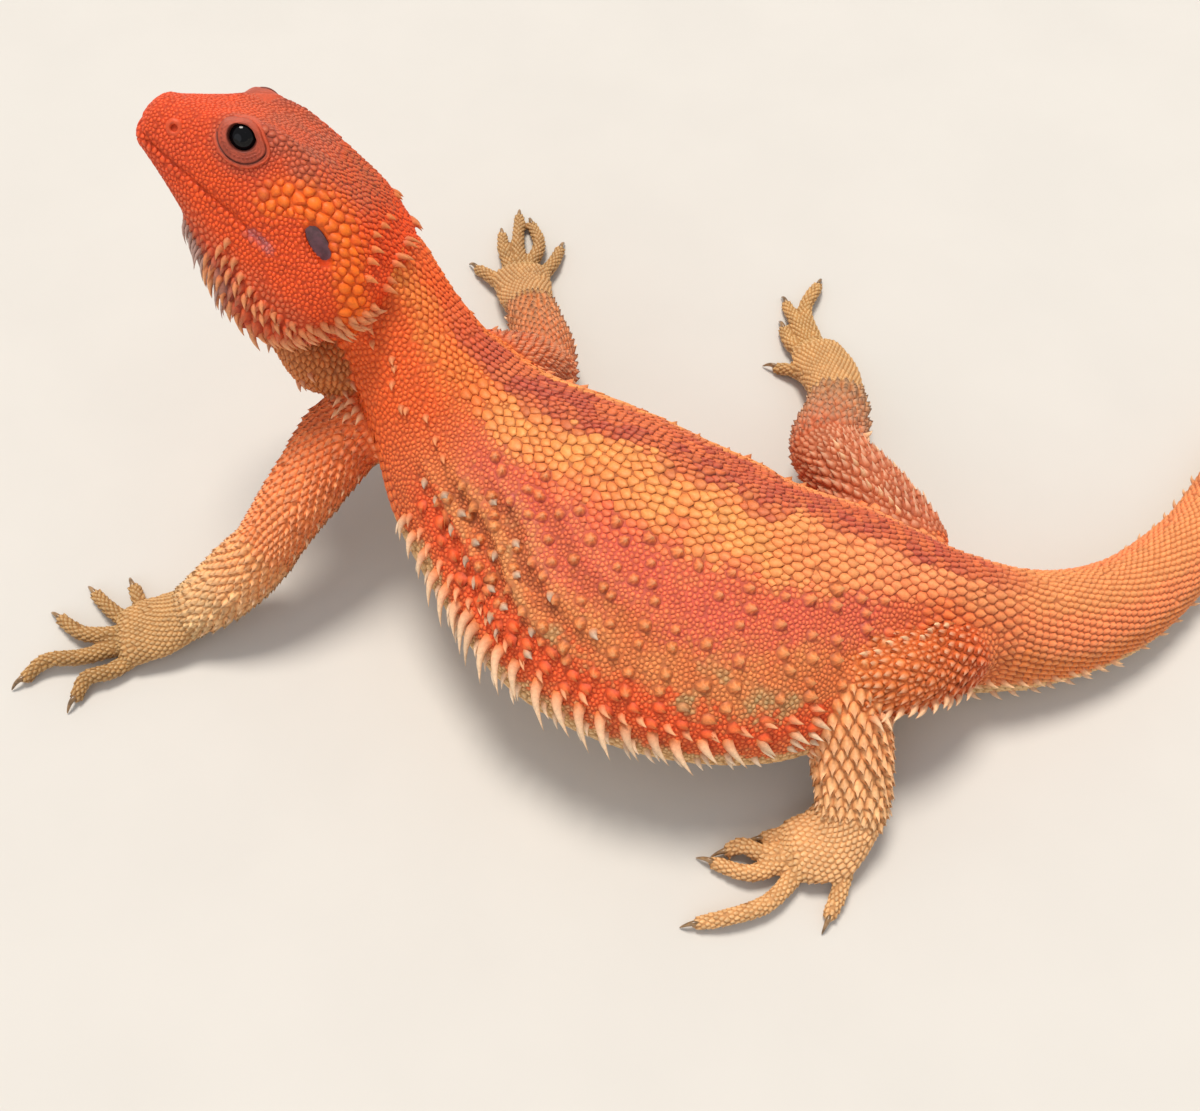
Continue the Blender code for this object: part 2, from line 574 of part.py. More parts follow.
def spine_object(spec):
    """A pointed spine with a sunk root; where it droops it bends halfway along."""
    root, outward, direction, length, radius, droop, sides = spec
    across = unit(np.cross(direction, outward + 0.1 * np.array((0.3, 0.5, 0.2))))
    over = np.cross(across, direction)
    stages = [(-SPINE_SINK * radius / length, 1.0)] + ([(0.5, 0.62)] if droop else [])
    bm = bmesh.new()
    rings = []
    for far, thick in stages:
        middle = spine_path(spec, far)
        ring = []
        for k in range(sides):
            a = math.radians(90 + 360 * k / sides)
            reach = (across * math.cos(a) + over * math.sin(a)) * (radius * thick)
            ring.append(bm.verts.new(place(middle + reach)))
        rings.append(ring)
    tip = bm.verts.new(place(spine_path(spec, 1.0)))
    bm.faces.new(rings[0])
    for k in range(sides):
        j = (k + 1) % sides
        for low, high in zip(rings, rings[1:]):
            bm.faces.new((low[k], low[j], high[j], high[k]))
        bm.faces.new((rings[-1][k], rings[-1][j], tip))
    return new_object("spine", bm)


def is_clear(spec, own, trees):
    """Whether a spine stays above the floor and clear of every node but its own."""
    radius = spec[4]
    for far in (0.0, 0.35, 0.7, 1.0):
        point = place(spine_path(spec, far))
        need = (radius * (1.0 - far) + GAP) * MM
        if point.z < need:
            return False
        for name, tree in trees.items():
            if name == own:
                continue
            near, normal, _, distance = tree.find_nearest(point, 0.02)
            if near and (distance < need or (point - near).dot(normal) < 0.0):
                return False
    return True


def settled(spec, own, trees):
    """The spine as given, or shorter and steeper, or None where it would touch a neighbour."""
    root, outward, direction, length, radius, droop, sides = spec
    for steeper, size, bend in ((0.0, 1.0, droop), (0.7, 1.0, 0.0), (2.5, 0.9, 0.0), (2.5, 0.65, 0.0)):
        tried = (root, outward, unit(direction + outward * steeper), length * size, radius, bend, sides)
        if is_clear(tried, own, trees):
            return tried
    return None


def body_spot(station, angle):
    """A point of the body's surface, its outward direction and the way to the tail."""
    rows, along = body_line()
    where = np.array([np.interp(station, range(len(along)), along)])
    row = smooth(rows, along, where)[0]
    ahead = smooth(rows, along, where + 1.0)[0] - smooth(rows, along, where - 1.0)[0]
    lefts, ups = frames(np.array([row[:3] - ahead[:3], row[:3] + ahead[:3]]), (row[8], row[8]))
    spots = []
    for turn in (angle - 3, angle, angle + 3):
        side, height = section(math.radians(turn), *row[3:8])
        spots.append(row[:3] + lefts[0] * side + ups[0] * height)
    outward = unit(np.cross(unit(ahead[:3]), spots[2] - spots[0]))
    if outward @ (spots[1] - row[:3]) < 0:
        outward = -outward
    return spots[1], outward, -unit(ahead[:3])


def body_spines(path, count, length, radius, lie, fall=0.0, droop=0.0, sides=3):
    """A row on both flanks along a path of (station, angle); lie leans back and fall down."""
    keys = np.array(path, float)[::-1]
    along = body_line()[1]
    stations = range(len(along))
    first, last = np.interp((keys[0][0], keys[-1][0]), stations, along)
    made = []
    for mirrored in (False, True):
        for k in range(count):
            t = k / (count - 1)
            station = np.interp(first + (last - first) * t + DICE.uniform(-0.6, 0.6), along, stations)
            angle = np.interp(station, keys[:, 0], keys[:, 1]) + DICE.uniform(-1.5, 1.5)
            root, outward, back = body_spot(station, 180 - angle if mirrored else angle)
            size = length * np.interp(t, (0, 0.45, 0.8, 1), (0.5, 0.85, 1.0, 0.6)) * DICE.uniform(0.88, 1.1)
            direction = unit(outward + back * lie - np.array((0.0, 0.0, fall)))
            made.append((root, outward, direction, size, radius, droop, sides))
    return made


def limb_spines(name, first, last, count, angle, length, radius, lie=0.5):
    """A row of spines along a limb, at an angle from its left side round over its top."""
    rows = through(LIMBS[name], 1.0)
    lefts, ups = frames(rows[:, :3], np.zeros(len(rows)))
    made = []
    for k in range(count):
        t = first + (last - first) * k / max(1, count - 1)
        i = int(round(t * (len(rows) - 1)))
        a = math.radians(angle + DICE.uniform(-6, 6))
        reach = lefts[i] * (math.cos(a) * rows[i][3]) + ups[i] * (math.sin(a) * rows[i][4])
        outward = unit(reach)
        toward_foot = unit(rows[-1][:3] - rows[0][:3])
        size = length * DICE.uniform(0.85, 1.15)
        direction = unit(outward + toward_foot * lie)
        made.append((rows[i][:3] + reach, outward, direction, size, radius, 0.0, 3))
    return made


def head_spines(surface, path, count, length, radius, lean):
    """A row of spines through points of the head's frame, rooted on its surface."""
    f, l, u = head_axes()
    middle = np.array(head_point(-2.0, 0.0, -4.0))
    keys = np.array(path, float)
    along = np.r_[0.0, np.cumsum(np.linalg.norm(np.diff(keys, axis=0), axis=1))]
    made = []
    for side in (1, -1):
        for k in range(count):
            where = np.array([along[-1] * k / max(1, count - 1)])
            a, b, c = smooth(keys, along, where)[0] + [DICE.uniform(-0.4, 0.4) for _ in range(3)]
            target = head_point(a, b * side, c)
            hit = surface.find_nearest(place(target))
            root = np.array(hit[0]) / MM + np.array(ORIGIN)
            outward = unit(np.array(hit[1]))
            if outward @ (root - middle) < 0:
                outward = -outward
            direction = unit(outward + f * lean[0] + l * (lean[1] * side) + u * lean[2])
            made.append((root, outward, direction, length * DICE.uniform(0.85, 1.12), radius, 0.0, 3))
    return made


def add_spines(nodes, head_surface):
    """Beard, jaw, nape, fringe, tail and leg spines, each fused with its node."""
    spines = {}
    spines["head"] = (
        head_spines(head_surface, BEARD_ROW, 12, 4.6, 1.15, (-0.7, 0.1, -0.6))
        + head_spines(head_surface, CHIN_ROW, 8, 3.6, 0.95, (-0.8, 0.0, -0.5))
        + head_spines(head_surface, NAPE_ROW, 5, 3.4, 1.0, (-1.0, 0.0, 0.2))
        + head_spines(head_surface, TEMPLE_ROW, 4, 2.4, 0.85, (-1.0, 0.0, 0.3)))
    spines["beard"] = throat_spines()
    spines["torso"] = (
        body_spines(FRINGE, 20, 7.6, 1.35, 0.5, 0.45, 0.2, 4)
        + body_spines([(a, b - 13) for a, b in FRINGE[1:]], 16, 5.4, 1.15, 0.6, 0.2)
        + body_spines(SHOULDER_ROW, 3, 3.2, 0.95, 0.8))
    spines["neck"] = body_spines(NECK_ROW, 3, 3.2, 0.95, 0.8)
    spines["tail_base"] = (body_spines(((7.75, 2), (6.2, 0)), 8, 3.0, 0.95, 0.9)
                           + body_spines(((7.6, -20), (6.1, -16)), 7, 3.0, 0.95, 0.9))
    spines["tail_middle"] = body_spines(((5.85, -4), (4.2, -4)), 7, 2.4, 0.8, 1.1)
    for side, rear, top in (("left", 0.0, 100.0), ("right", 180.0, 80.0)):
        front = 180.0 - rear
        spines["thigh_" + side] = (
            limb_spines("thigh_" + side, 0.15, 0.95, 9, rear, 3.2, 0.95)
            + limb_spines("thigh_" + side, 0.2, 0.9, 7, top, 2.4, 0.85))
        spines["shin_" + side] = (
            limb_spines("shin_" + side, 0.25, 0.95, 7, rear, 2.4, 0.85)
            + limb_spines("shin_" + side, 0.3, 0.9, 5, front, 1.8, 0.75))
        spines["forearm_" + side] = (
            limb_spines("forearm_" + side, 0.2, 0.9, 5, rear, 1.8, 0.75)
            + limb_spines("forearm_" + side, 0.25, 0.85, 4, front, 1.8, 0.75))
        spines["upper_arm_" + side] = limb_spines("upper_arm_" + side, 0.55, 0.95, 4, rear, 1.8, 0.75)
    depsgraph = bpy.context.evaluated_depsgraph_get()
    trees = {name: BVHTree.FromObject(obj, depsgraph) for name, obj in nodes.items()}
    for name, group in spines.items():
        kept = [spec for spec in (settled(spec, name, trees) for spec in group) if spec]
        combine(nodes[name], [spine_object(spec) for spec in kept], "UNION")


def throat_spines():
    """Short spines under the throat."""
    f, l, u = head_axes()
    made = []
    for row, (a, b, c, wide, high) in enumerate(BEARD[1:]):
        for k in range(4):
            angle = math.radians(-150 + 40 * k + 8 * row)
            outward = unit(l * math.cos(angle) + u * math.sin(angle))
            root = head_point(a, wide * math.cos(angle), c + high * math.sin(angle))
            made.append((root, outward, unit(outward - f * 0.9), 2.2, 0.8, 0.0, 3))
    return made


def make_hand(name):
    parts = HANDS[name]
    hand = tube(name, parts["palm"], 10, 5.5, cap_angles=(50,))
    digits = []
    for digit in parts["digits"]:
        count = len(digit)
        table = [(*p, *[DIGIT_RADIUS * (1 - (1 - DIGIT_TAPER) * k / (count - 1))] * 2)
                 for k, p in enumerate(digit)]
        digits.append(tube("digit", table, 5, 5.0, False, True, (50,)))
    return combine(hand, digits, "UNION")


def make_claws(name):
    """A hooked claw for each digit of one hand or foot, level with the floor at its tip."""
    claws = []
    for label, digit in zip(DIGIT_NAMES, HANDS[name]["digits"]):
        a, b = (np.array(p, float) for p in digit[-2:])
        ahead = unit((b - a) * (1, 1, 0))
        start = b - ahead * 0.4
        table = []
        for k in range(4):
            t = k / 3
            point = start + ahead * (CLAW_LENGTH * t)
            point[2] = b[2] + 0.9 * math.sin(math.pi * t) - (b[2] - 0.45) * t * t
            radius = CLAW_RADIUS * (1 - t) ** 0.8 + 0.16 * t
            table.append((*point, radius, radius))
        claws.append(tube(f"claw_{name}_{label}", table, 4, 2.4, False, False))
    return claws


def material(name, colour):
    mat = bpy.data.materials.new(name)
    mat.use_nodes = True
    shader = mat.node_tree.nodes["Principled BSDF"]
    shader.inputs["Base Color"].default_value = (*colour, 1.0)
    shader.inputs["Roughness"].default_value = 0.5
    return mat


def finish_node(obj, kind):
    largest_piece(obj)
    obj.data.materials.clear()
    obj.data.materials.append(material(obj.name + "_" + kind, COLOURS[kind]))


def copy_of(obj):
    other = obj.copy()
    other.data = obj.data.copy()
    bpy.context.scene.collection.objects.link(other)
    return other


def clear_of(obj, *whole):
    """Cut a node clear of its neighbours, each given as its whole, smooth form."""
    return combine(obj, [grown(other) for other in whole], "DIFFERENCE")


def build():
    for obj in list(bpy.data.objects):
        bpy.data.objects.remove(obj)
    # Whole smooth forms first: every cut between neighbours uses these.
    whole = {name: body_length(name, first, last) for name, first, last in BODY_NODES}
    whole["head"] = head_shell()
    whole["beard"] = make_beard()
    for name, table in LIMBS.items():
        whole[name] = tube(name, table, 12, 6.0, cap_angles=(50,))
    nodes = {name: copy_of(obj) for name, obj in whole.items()}
    finish_head(nodes["head"])
    clear_of(nodes["beard"], whole["head"])
    clear_of(nodes["neck"], whole["head"], whole["beard"])
    legs = [whole[name] for name in LIMBS if name.startswith(("thigh", "shin"))]
    clear_of(nodes["torso"], whole["beard"], *legs)
    clear_of(nodes["tail_base"], *legs)
    for side in ("left", "right"):
        clear_of(nodes["upper_arm_" + side], whole["torso"], whole["neck"], whole["beard"])
        clear_of(nodes["forearm_" + side], whole["upper_arm_" + side])
        clear_of(nodes["shin_" + side], whole["thigh_" + side])
        for name, above in (("hand_" + side, "forearm_" + side), ("foot_" + side, "shin_" + side)):
            hand = make_hand(name)
            nodes[name] = copy_of(hand)
            clear_of(nodes[name], whole[above])
            for claw in make_claws(name):
                nodes[claw.name] = clear_of(claw, hand)
            bpy.data.objects.remove(hand)
    for side in (1, -1):
        for made in (make_eye(side), make_ear_drum(side)):
            nodes[made.name] = made
    add_spines(nodes, BVHTree.FromObject(whole["head"], bpy.context.evaluated_depsgraph_get()))
    for name, obj in nodes.items():
        if name in whole:
            bpy.data.objects.remove(whole[name])
        obj.name = name
    for obj in nodes.values():
        combine(obj, [floor_box()], "DIFFERENCE")
        kind = "skin"
        if obj.name.startswith("claw"):
            kind = "claw"
        elif obj.name.startswith(("hand", "foot")):
            kind = "digit_skin"
        elif obj.name.startswith("eye"):
            kind = "eye"
        elif obj.name.startswith("ear"):
            kind = "ear_drum"
        finish_node(obj, kind)
    return nodes


build()
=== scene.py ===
# %% [markdown]
# # A basking bearded dragon, life size
# This lesson dresses a imported CAD model of a bearded dragon, an orange-red one that lies on its
# belly with its head raised. The CAD model gives the pose and the size. The scene gives the skin,
# every scale and spine, the lids and the eyes. Blender works in metres, but an animal this size is
# easier to write down in millimetres, so the tables below are in millimetres in a drawing frame of
# their own, and one function turns a drawing point into a world point.

# %% Load the imported model
import math

import bmesh
import bpy
import numpy as np
from mathutils import Matrix, Vector, noise
from mathutils.bvhtree import BVHTree
from mathutils.kdtree import KDTree

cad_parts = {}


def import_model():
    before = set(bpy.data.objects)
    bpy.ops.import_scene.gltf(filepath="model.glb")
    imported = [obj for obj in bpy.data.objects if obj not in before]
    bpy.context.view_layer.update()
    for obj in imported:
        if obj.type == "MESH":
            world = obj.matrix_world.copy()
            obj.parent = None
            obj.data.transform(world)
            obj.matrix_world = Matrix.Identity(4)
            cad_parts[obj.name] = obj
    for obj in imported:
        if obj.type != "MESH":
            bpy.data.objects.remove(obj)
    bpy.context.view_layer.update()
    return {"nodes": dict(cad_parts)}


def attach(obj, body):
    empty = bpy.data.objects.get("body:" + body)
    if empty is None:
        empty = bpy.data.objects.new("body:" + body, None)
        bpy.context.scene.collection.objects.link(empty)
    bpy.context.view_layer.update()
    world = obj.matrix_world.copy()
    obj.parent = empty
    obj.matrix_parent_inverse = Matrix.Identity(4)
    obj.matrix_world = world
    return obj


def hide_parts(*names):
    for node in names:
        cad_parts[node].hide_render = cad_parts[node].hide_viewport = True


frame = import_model()
print("The packed model has", len(frame["nodes"]), "nodes.")

# %% [markdown]
# ## The body's named sizes
# A lizard's body is close to a bent tube whose cross-section changes all the way: round at the
# tail, broad and flat at the belly, narrow at the neck. It could be sculpted, but a table of
# stations along the spine is easier to read and to change. Each row is one station from the tip of
# the tail to the inside of the head: its place, half its width, how far it rises above and drops
# below its widest line, the shape of the upper and of the lower half, and its roll in degrees.

# %% Tables of the body
MM = 0.001
ORIGIN = np.array((35.0, -8.0, 0.0))
SEED = 11
BODY = np.array((
    (272, 97, 1.3, 1, 1, 1.4, 2, 2, 0),
    (244, 88, 2.2, 2.2, 2.2, 2.4, 2, 2, 0),
    (216, 72, 3.4, 3.7, 3.7, 3.6, 2, 2, 0),
    (190, 50, 4.7, 5.3, 5.2, 4.9, 2, 2, 0),
    (167, 24, 6.2, 7.2, 7.2, 6.4, 2, 2, 0),
    (146.5, -2, 8, 9, 9.4, 8.2, 2, 2.2, 0),
    (120, -22, 9.8, 11.6, 13, 10, 2, 2.3, 2),
    (98, -28, 12, 13.4, 17, 12.2, 2, 2.4, 4),
    (80, -28, 14, 16, 21.5, 14.2, 1.9, 2.5, 8),
    (60, -26, 15, 27, 27.4, 15.4, 1.75, 2.5, 13),
    (34, -25.6, 16, 42, 35, 16.6, 1.62, 2.7, 19),
    (8, -17.8, 18, 44, 38, 18.6, 1.62, 2.7, 20),
    (-14, -4, 24, 36, 36, 20, 1.75, 2.3, 20),
    (-28, 7, 34, 27, 28.5, 21, 1.9, 2.1, 21),
    (-38, 17.5, 45.5, 19, 19.5, 15, 2, 2, 24),
    (-46, 27.5, 56, 15, 15.5, 12.5, 2, 2, 28),
    (-53, 35, 65.5, 15.5, 15, 13, 2, 2, 30),
))
HEAD_AT = np.array((-61.2, 40.9, 75.2))
HEAD_YAW, HEAD_PITCH, HEAD_ROLL = 18.5, 37, 31.0
HEAD_FRONT, HEAD_BACK = 38.8, -15.0
SNOUT_ROUND, NAPE_ROUND = 3.6, 5.0
EYE_AT, EYE_AXIS = (23.6, 13, 9.6), (0.10, 0.95, 0.28)
EYE_OPENING, LID_RADIUS, LID_TOP = 2.9, 6.1, 0.72     # the lids are lower above the eye
EAR_AT, EAR_AXIS = (-0.2, 20.6, 3.7), (-0.10, 0.96, 0.22)
EAR_LONG, EAR_WIDE, EAR_SLANT = 4.6, 1.8, 26.0
NOSTRIL_AT, NOSTRIL_AXIS, NOSTRIL_RADIUS = (35.2, 8.4, 0.4), (0.25, 0.95, 0.2), 0.9
MOUTH_CORNER, MOUTH_DEEP = 8, 0.7
print("The body has", len(BODY), "stations.")

# %% [markdown]
# The head has its own frame, with its lines drawn from the middle of the crown down to the middle
# of the chin, each as points of forward, left and up. The limbs are tubes with a place, a half
# width and a half height at each row, and every digit is a short line from knuckle to tip.

# %% Tables of the head, the limbs and the digits
HEAD_LINES = {
    "crown": ((41, 0, 1.2), (36, 0, 5), (31, 0, 8.4), (27, 0, 10.8), (23, 0, 12.4), (17, 0, 13.8),
              (3, 0, 14.6), (-8, 0, 13.8), (-15, 0, 11.4)),
    "crown_side": ((41, 2.6, 1), (36, 3.4, 4.8), (31, 4, 8.2), (27, 4.8, 10.8), (23, 5.4, 12.4),
                   (17, 5.8, 13.9), (3, 6.2, 14.4), (-8, 6.3, 13.4), (-15, 5.8, 11)),
    "brow": ((41, 4.8, 0), (36, 6.4, 3.6), (31, 8.2, 7.4), (27, 9.6, 10.8), (23, 10.6, 13),
             (17, 11.4, 14.6), (10, 12.2, 14.2), (3, 12.8, 13.2), (-8, 12.6, 11.6), (-15, 11, 9.4)),
    "orbit": ((41, 5.9, -1.8), (36, 8.4, 0.2), (31, 10.4, 3.6), (27, 12, 7), (23, 13.2, 9),
              (17, 14.4, 9.2), (10, 16.6, 8.8), (3, 19, 7.6), (-8, 21, 5.5), (-15, 18.6, 4.2)),
    "cheek": ((41, 6.4, -3.8), (36, 9.1, -3.2), (31, 11.4, -1.8), (27, 13.4, -0.4), (23, 15.2, 0.6),
              (17, 17.2, 1.2), (10, 19.4, 2), (3, 20.8, 2.6), (-8, 23.4, 1), (-15, 22, 0.2)),
    "lip": ((41, 6.2, -6), (36, 9, -5.7), (31, 11.2, -5.2), (23, 15, -4.4), (17, 17.4, -3.9),
            (10, 19.8, -3.8), (3, 21.9, -4), (-8, 24.4, -4.5), (-15, 23.2, -5)),
    "jaw": ((41, 5.4, -7.8), (36, 8, -8.2), (31, 10.2, -8.7), (23, 14, -9.8), (17, 16.8, -10.6),
            (10, 20, -11.6), (3, 22.6, -12.6), (-8, 24.2, -11.5), (-15, 21, -9.5)),
    "jaw_edge": ((41, 3.8, -8.8), (36, 5.8, -10), (31, 7.9, -11.4), (23, 11.4, -14),
                 (17, 14.3, -16.4), (10, 17.5, -19.4), (3, 20, -21.4), (-8, 20.6, -18.4),
                 (-15, 16.8, -13.5)),
    "chin": ((41, 0, -9.4), (36, 0, -10.8), (31, 0, -12.2), (23, 0, -15.3), (17, 0, -18),
             (10, 0, -21.4), (3, 0, -23.8), (-8, 0, -21.2), (-15, 0, -15.5)),
}
# The beard pouch, as forward, left and up of the head, half width, half height.
BEARD = ((6, 0, -16, 12, 6.5), (-5, 0, -20.5, 16, 9.5), (-16, 0, -23, 17, 11),
         (-25, 0, -21, 14.5, 9.5))
LIMBS = {
    "upper_arm_left": ((-46, 16, 40, 10, 10), (-58, 11, 38.5, 9.6, 9.4),
                       (-67.5, 0.2, 33, 8.6, 8), (-78, -11.4, 24, 7.4, 7.2)),
    "forearm_left": ((-78, -11.6, 23, 7.4, 7.2), (-86.5, -15.5, 16, 8.5, 6.8),
                     (-94.5, -18.9, 10.6, 7.8, 5.4), (-99.2, -20.6, 8.2, 7, 4.6)),
    "upper_arm_right": ((-27, 24, 44, 9.5, 9.5), (-19.3, 33.3, 34, 8.5, 8.5),
                        (-13, 43, 20, 7, 7)),
    "forearm_right": ((-13, 43, 19, 7, 7.2), (-14.8, 56, 14, 7.8, 6.6),
                      (-17.7, 68.5, 10, 7.4, 5.4), (-19.4, 77, 8, 6.8, 4.6)),
    "thigh_left": ((79, -36.5, 21, 10.5, 10.5), (73.5, -40, 22.5, 10.5, 10.5),
                   (64, -45, 26, 9.8, 9.8), (53.5, -48, 27, 8.4, 8.6)),
    "shin_left": ((53.5, -48.5, 26, 8.6, 8.4), (54.5, -57, 20, 9, 7.8),
                  (55.6, -66, 12.8, 8.2, 6.6), (55.6, -72, 9.2, 7.4, 5.6)),
    "thigh_right": ((72.5, -10, 20, 10.5, 10), (68.5, -4, 21, 10.5, 10),
                    (62.5, 5, 23, 9.6, 9.6), (55, 14.5, 24.5, 8.4, 8.6)),
    "shin_right": ((55.5, 15.5, 24, 8.6, 8.4), (58, 24, 18.5, 9, 7.8),
                   (61.5, 35, 12.4, 8.2, 6.6), (63.3, 43.5, 8.8, 7.4, 5.6)),
}
# Palms and soles, then each digit from its knuckle to its tip as x, y, z.
HANDS = {
    "hand_left": {
        "palm": ((-98.5, -20.6, 7.8, 7, 4.6), (-107, -23.4, 5.2, 8.4, 3.9),
                 (-113.5, -25.2, 4, 7.8, 3.1)),
        "digits": (((-109, -20.4, 3.1), (-113.2, -15.5, 3.3), (-116.1, -10.5, 1.5)),
                   ((-113.5, -22, 3.2), (-120.7, -16.9, 3.1), (-125.2, -12.4, 1.5)),
                   ((-114.5, -24, 3.2), (-126, -23.8, 3.3), (-132.4, -19.3, 1.5)),
                   ((-113, -26.4, 3.2), (-124.6, -30.2, 3.3), (-134, -31.8, 3.2), (-137.6, -35, 1.5)),
                   ((-109.8, -28, 3.2), (-117.2, -34, 3.1), (-122.6, -36.2, 3.4),
                    (-124.4, -40, 1.5))),
    },
    "hand_right": {
        "palm": ((-19.4, 76.5, 7.8, 6.8, 4.6), (-21.8, 86, 5.2, 8.2, 3.9), (-22.4, 92.5, 4, 7.6, 3.1)),
        "digits": (((-26, 86.6, 3.1), (-32.4, 93.1, 3.1), (-35.5, 96.4, 1.5)),
                   ((-25.4, 93.5, 3.2), (-28.1, 102.8, 3.1), (-29, 109.6, 1.5)),
                   ((-23.2, 95, 3.2), (-24.1, 106.1, 3.3), (-24.2, 117.2, 1.5)),
                   ((-20.6, 95, 3.2), (-17.9, 105.3, 3.3), (-20.3, 113.9, 1.5)),
                   ((-18.2, 90.6, 3.2), (-13.9, 97.2, 3.1), (-11.8, 103.9, 1.5))),
    },
    "foot_left": {
        "palm": ((55.4, -72.5, 8.2, 7.2, 5.4), (50.6, -76.6, 5.6, 8.4, 4.4), (44.5, -78.8, 4.2, 7.8, 3.4)),
        "digits": (((48, -74.8, 3.1), (41.1, -74.3, 3.1), (36.6, -74.9, 1.5)),
                   ((44.4, -77.2, 3.2), (36.4, -78.9, 3.3), (31, -77, 3.4), (28.8, -77.6, 1.5)),
                   ((43, -79.6, 3.2), (32.4, -83.2, 3.3), (25.4, -80.5, 1.5)),
                   ((44.4, -81.6, 3.2), (36.7, -89.6, 3.3), (26.3, -93.1, 3), (21.5, -93.8, 1.5)),
                   ((54.6, -78.5, 3.3), (51.9, -88, 3.1), (49.9, -92, 1.5))),
    },
    "foot_right": {
        "palm": ((63.6, 44.5, 8.2, 7.2, 5.4), (62.4, 54.5, 5.6, 8.2, 4.4), (60, 63.5, 4.2, 7.2, 3.4)),
        "digits": (((59.4, 53, 3.1), (53, 57.9, 3.1), (49.2, 59.6, 1.5)),
                   ((57.6, 61.6, 3.2), (53.2, 67.5, 3.1), (51.9, 73.3, 1.5)),
                   ((58.2, 65.4, 3.2), (55.4, 74.5, 3.3), (53.4, 82.6, 1.5)),
                   ((60.4, 67, 3.2), (58.4, 80.5, 3.3), (61.6, 87, 3), (62.8, 89.6, 1.5)),
                   ((65.4, 52, 3.3), (69, 46.5, 3.4), (70.6, 42, 1.5))),
    },
}
DIGIT_NAMES = ("i", "ii", "iii", "iv", "v")
DIGIT_RADIUS, DIGIT_TAPER = 2.3, 0.72
DIGIT_SLIM = 0.86      # the coat adds its own thickness, so the digits under it are slimmer
CLAW_LENGTH, CLAW_RADIUS = 4.6, 0.95
SIDES = {1: "left", -1: "right"}
print("The limbs are", len(LIMBS), "tubes, with", len(HANDS), "hands and feet.")

# %% [markdown]
# ## From tables to smooth lines
# A table with few rows turns into a smooth form by cubic interpolation between its rows. Each ring
# of a tube needs a left and an up direction: left is level, up stands on it, and a roll turns both.

# %% Smooth lines, directions and world points
def world(points):
    """Drawing points in millimetres as world points in metres."""
    return (np.asarray(points, float) - ORIGIN) * MM


def unit(vectors):
    """Vectors of length 1 in the same directions."""
    return vectors / np.maximum(np.linalg.norm(vectors, axis=-1, keepdims=True), 1e-9)


def run_length(rows):
    """Millimetres along a line to each of its rows, which start with x, y and z."""
    places = np.array(rows, float)[:, :3]
    return np.r_[0.0, np.cumsum(np.linalg.norm(np.diff(places, axis=0), axis=1))]


def mesh_of(first, second):
    """Every pair of two lists of values, as two flat arrays."""
    x, y = np.meshgrid(first, second, indexing="ij")
    return x.ravel(), y.ravel()


def smooth(rows, along, where):
    """Cubic interpolation of rows that belong to the places along, at the places where."""
    slope = np.gradient(rows, along, axis=0)
    index = np.clip(np.searchsorted(along, where, side="right") - 1, 0, len(along) - 2)
    width = (along[index + 1] - along[index])[:, None]
    t = (where - along[index])[:, None] / width
    a, b = rows[index], rows[index + 1]
    p, q = slope[index] * width, slope[index + 1] * width
    return (a * (1 + 2 * t) * (1 - t) ** 2 + p * t * (1 - t) ** 2
            + b * t * t * (3 - 2 * t) - q * t * t * (1 - t))


def side_and_up(ahead, roll):
    """Left and up directions on lines that run ahead, rolled with the left side up."""
    ahead = unit(ahead)
    left = unit(np.cross(np.broadcast_to((0.0, 0.0, 1.0), ahead.shape), ahead))
    up = np.cross(ahead, left)
    c, s = np.cos(np.radians(roll))[:, None], np.sin(np.radians(roll))[:, None]
    return left * c + up * s, up * c - left * s


def step_between(value, low, high):
    """0 below low, 1 above high and a soft step between."""
    t = np.clip((value - low) / (high - low), 0.0, 1.0)
    return t * t * (3 - 2 * t)


def between(value, low, high, soft):
    """1 from low to high and 0 outside, with a soft step at each end."""
    rise, fall = (step_between(value, edge - soft, edge + soft) for edge in (low, high))
    return rise * (1 - fall)


def bump_at(value, middle, width):
    """1 at the middle, falling to nearly 0 at twice the width from it."""
    return np.exp(-((value - middle) / width) ** 2)


print("A soft step at 0, 0.25, 0.5 and 1:", step_between(np.array((0, 0.25, 0.5, 1)), 0, 1))

# %% [markdown]
# ## The surface of body, limb and head
# Every later step, skin as well as scales, asks the same question: where is the surface at this
# place along and this angle round? So each form is a function that answers it for whole arrays at
# once. The body's adds the oblique folds that run back from the armpit, where loose skin hangs in
# the real animal when it lies on one side. A sculpted mesh would need each scale placed by eye.

# %% Surface of body, neck and tail
BODY_ALONG = run_length(BODY)
STATIONS = np.arange(len(BODY), dtype=float)
FOLDS = (((13.5, 20), (11.2, 15), 2.0), ((13.2, 33), (10.9, 23), 2.3),     # start and end as station
         ((12.9, 45), (10.7, 31), 1.6), ((12.3, 56), (10.6, 42), 0.8))     # and angle, then height


def folds(station, angle):
    """Height in millimetres of the flank's oblique skin folds, each with a furrow below it."""
    near = np.where(angle > 90, 180 - angle, angle)
    height = np.zeros_like(station)
    for start, end, tall in FOLDS:
        t = (start[0] - station) / (start[0] - end[0])
        line = start[1] + (end[1] - start[1]) * t + 2.2 * np.sin(5 * t)
        fade = step_between(t, -0.1, 0.2) * (1 - step_between(t, 0.6, 1.15))
        height += tall * fade * (bump_at(near, line, 3.0) - bump_at(near, line - 6.5, 3.4))
    return height


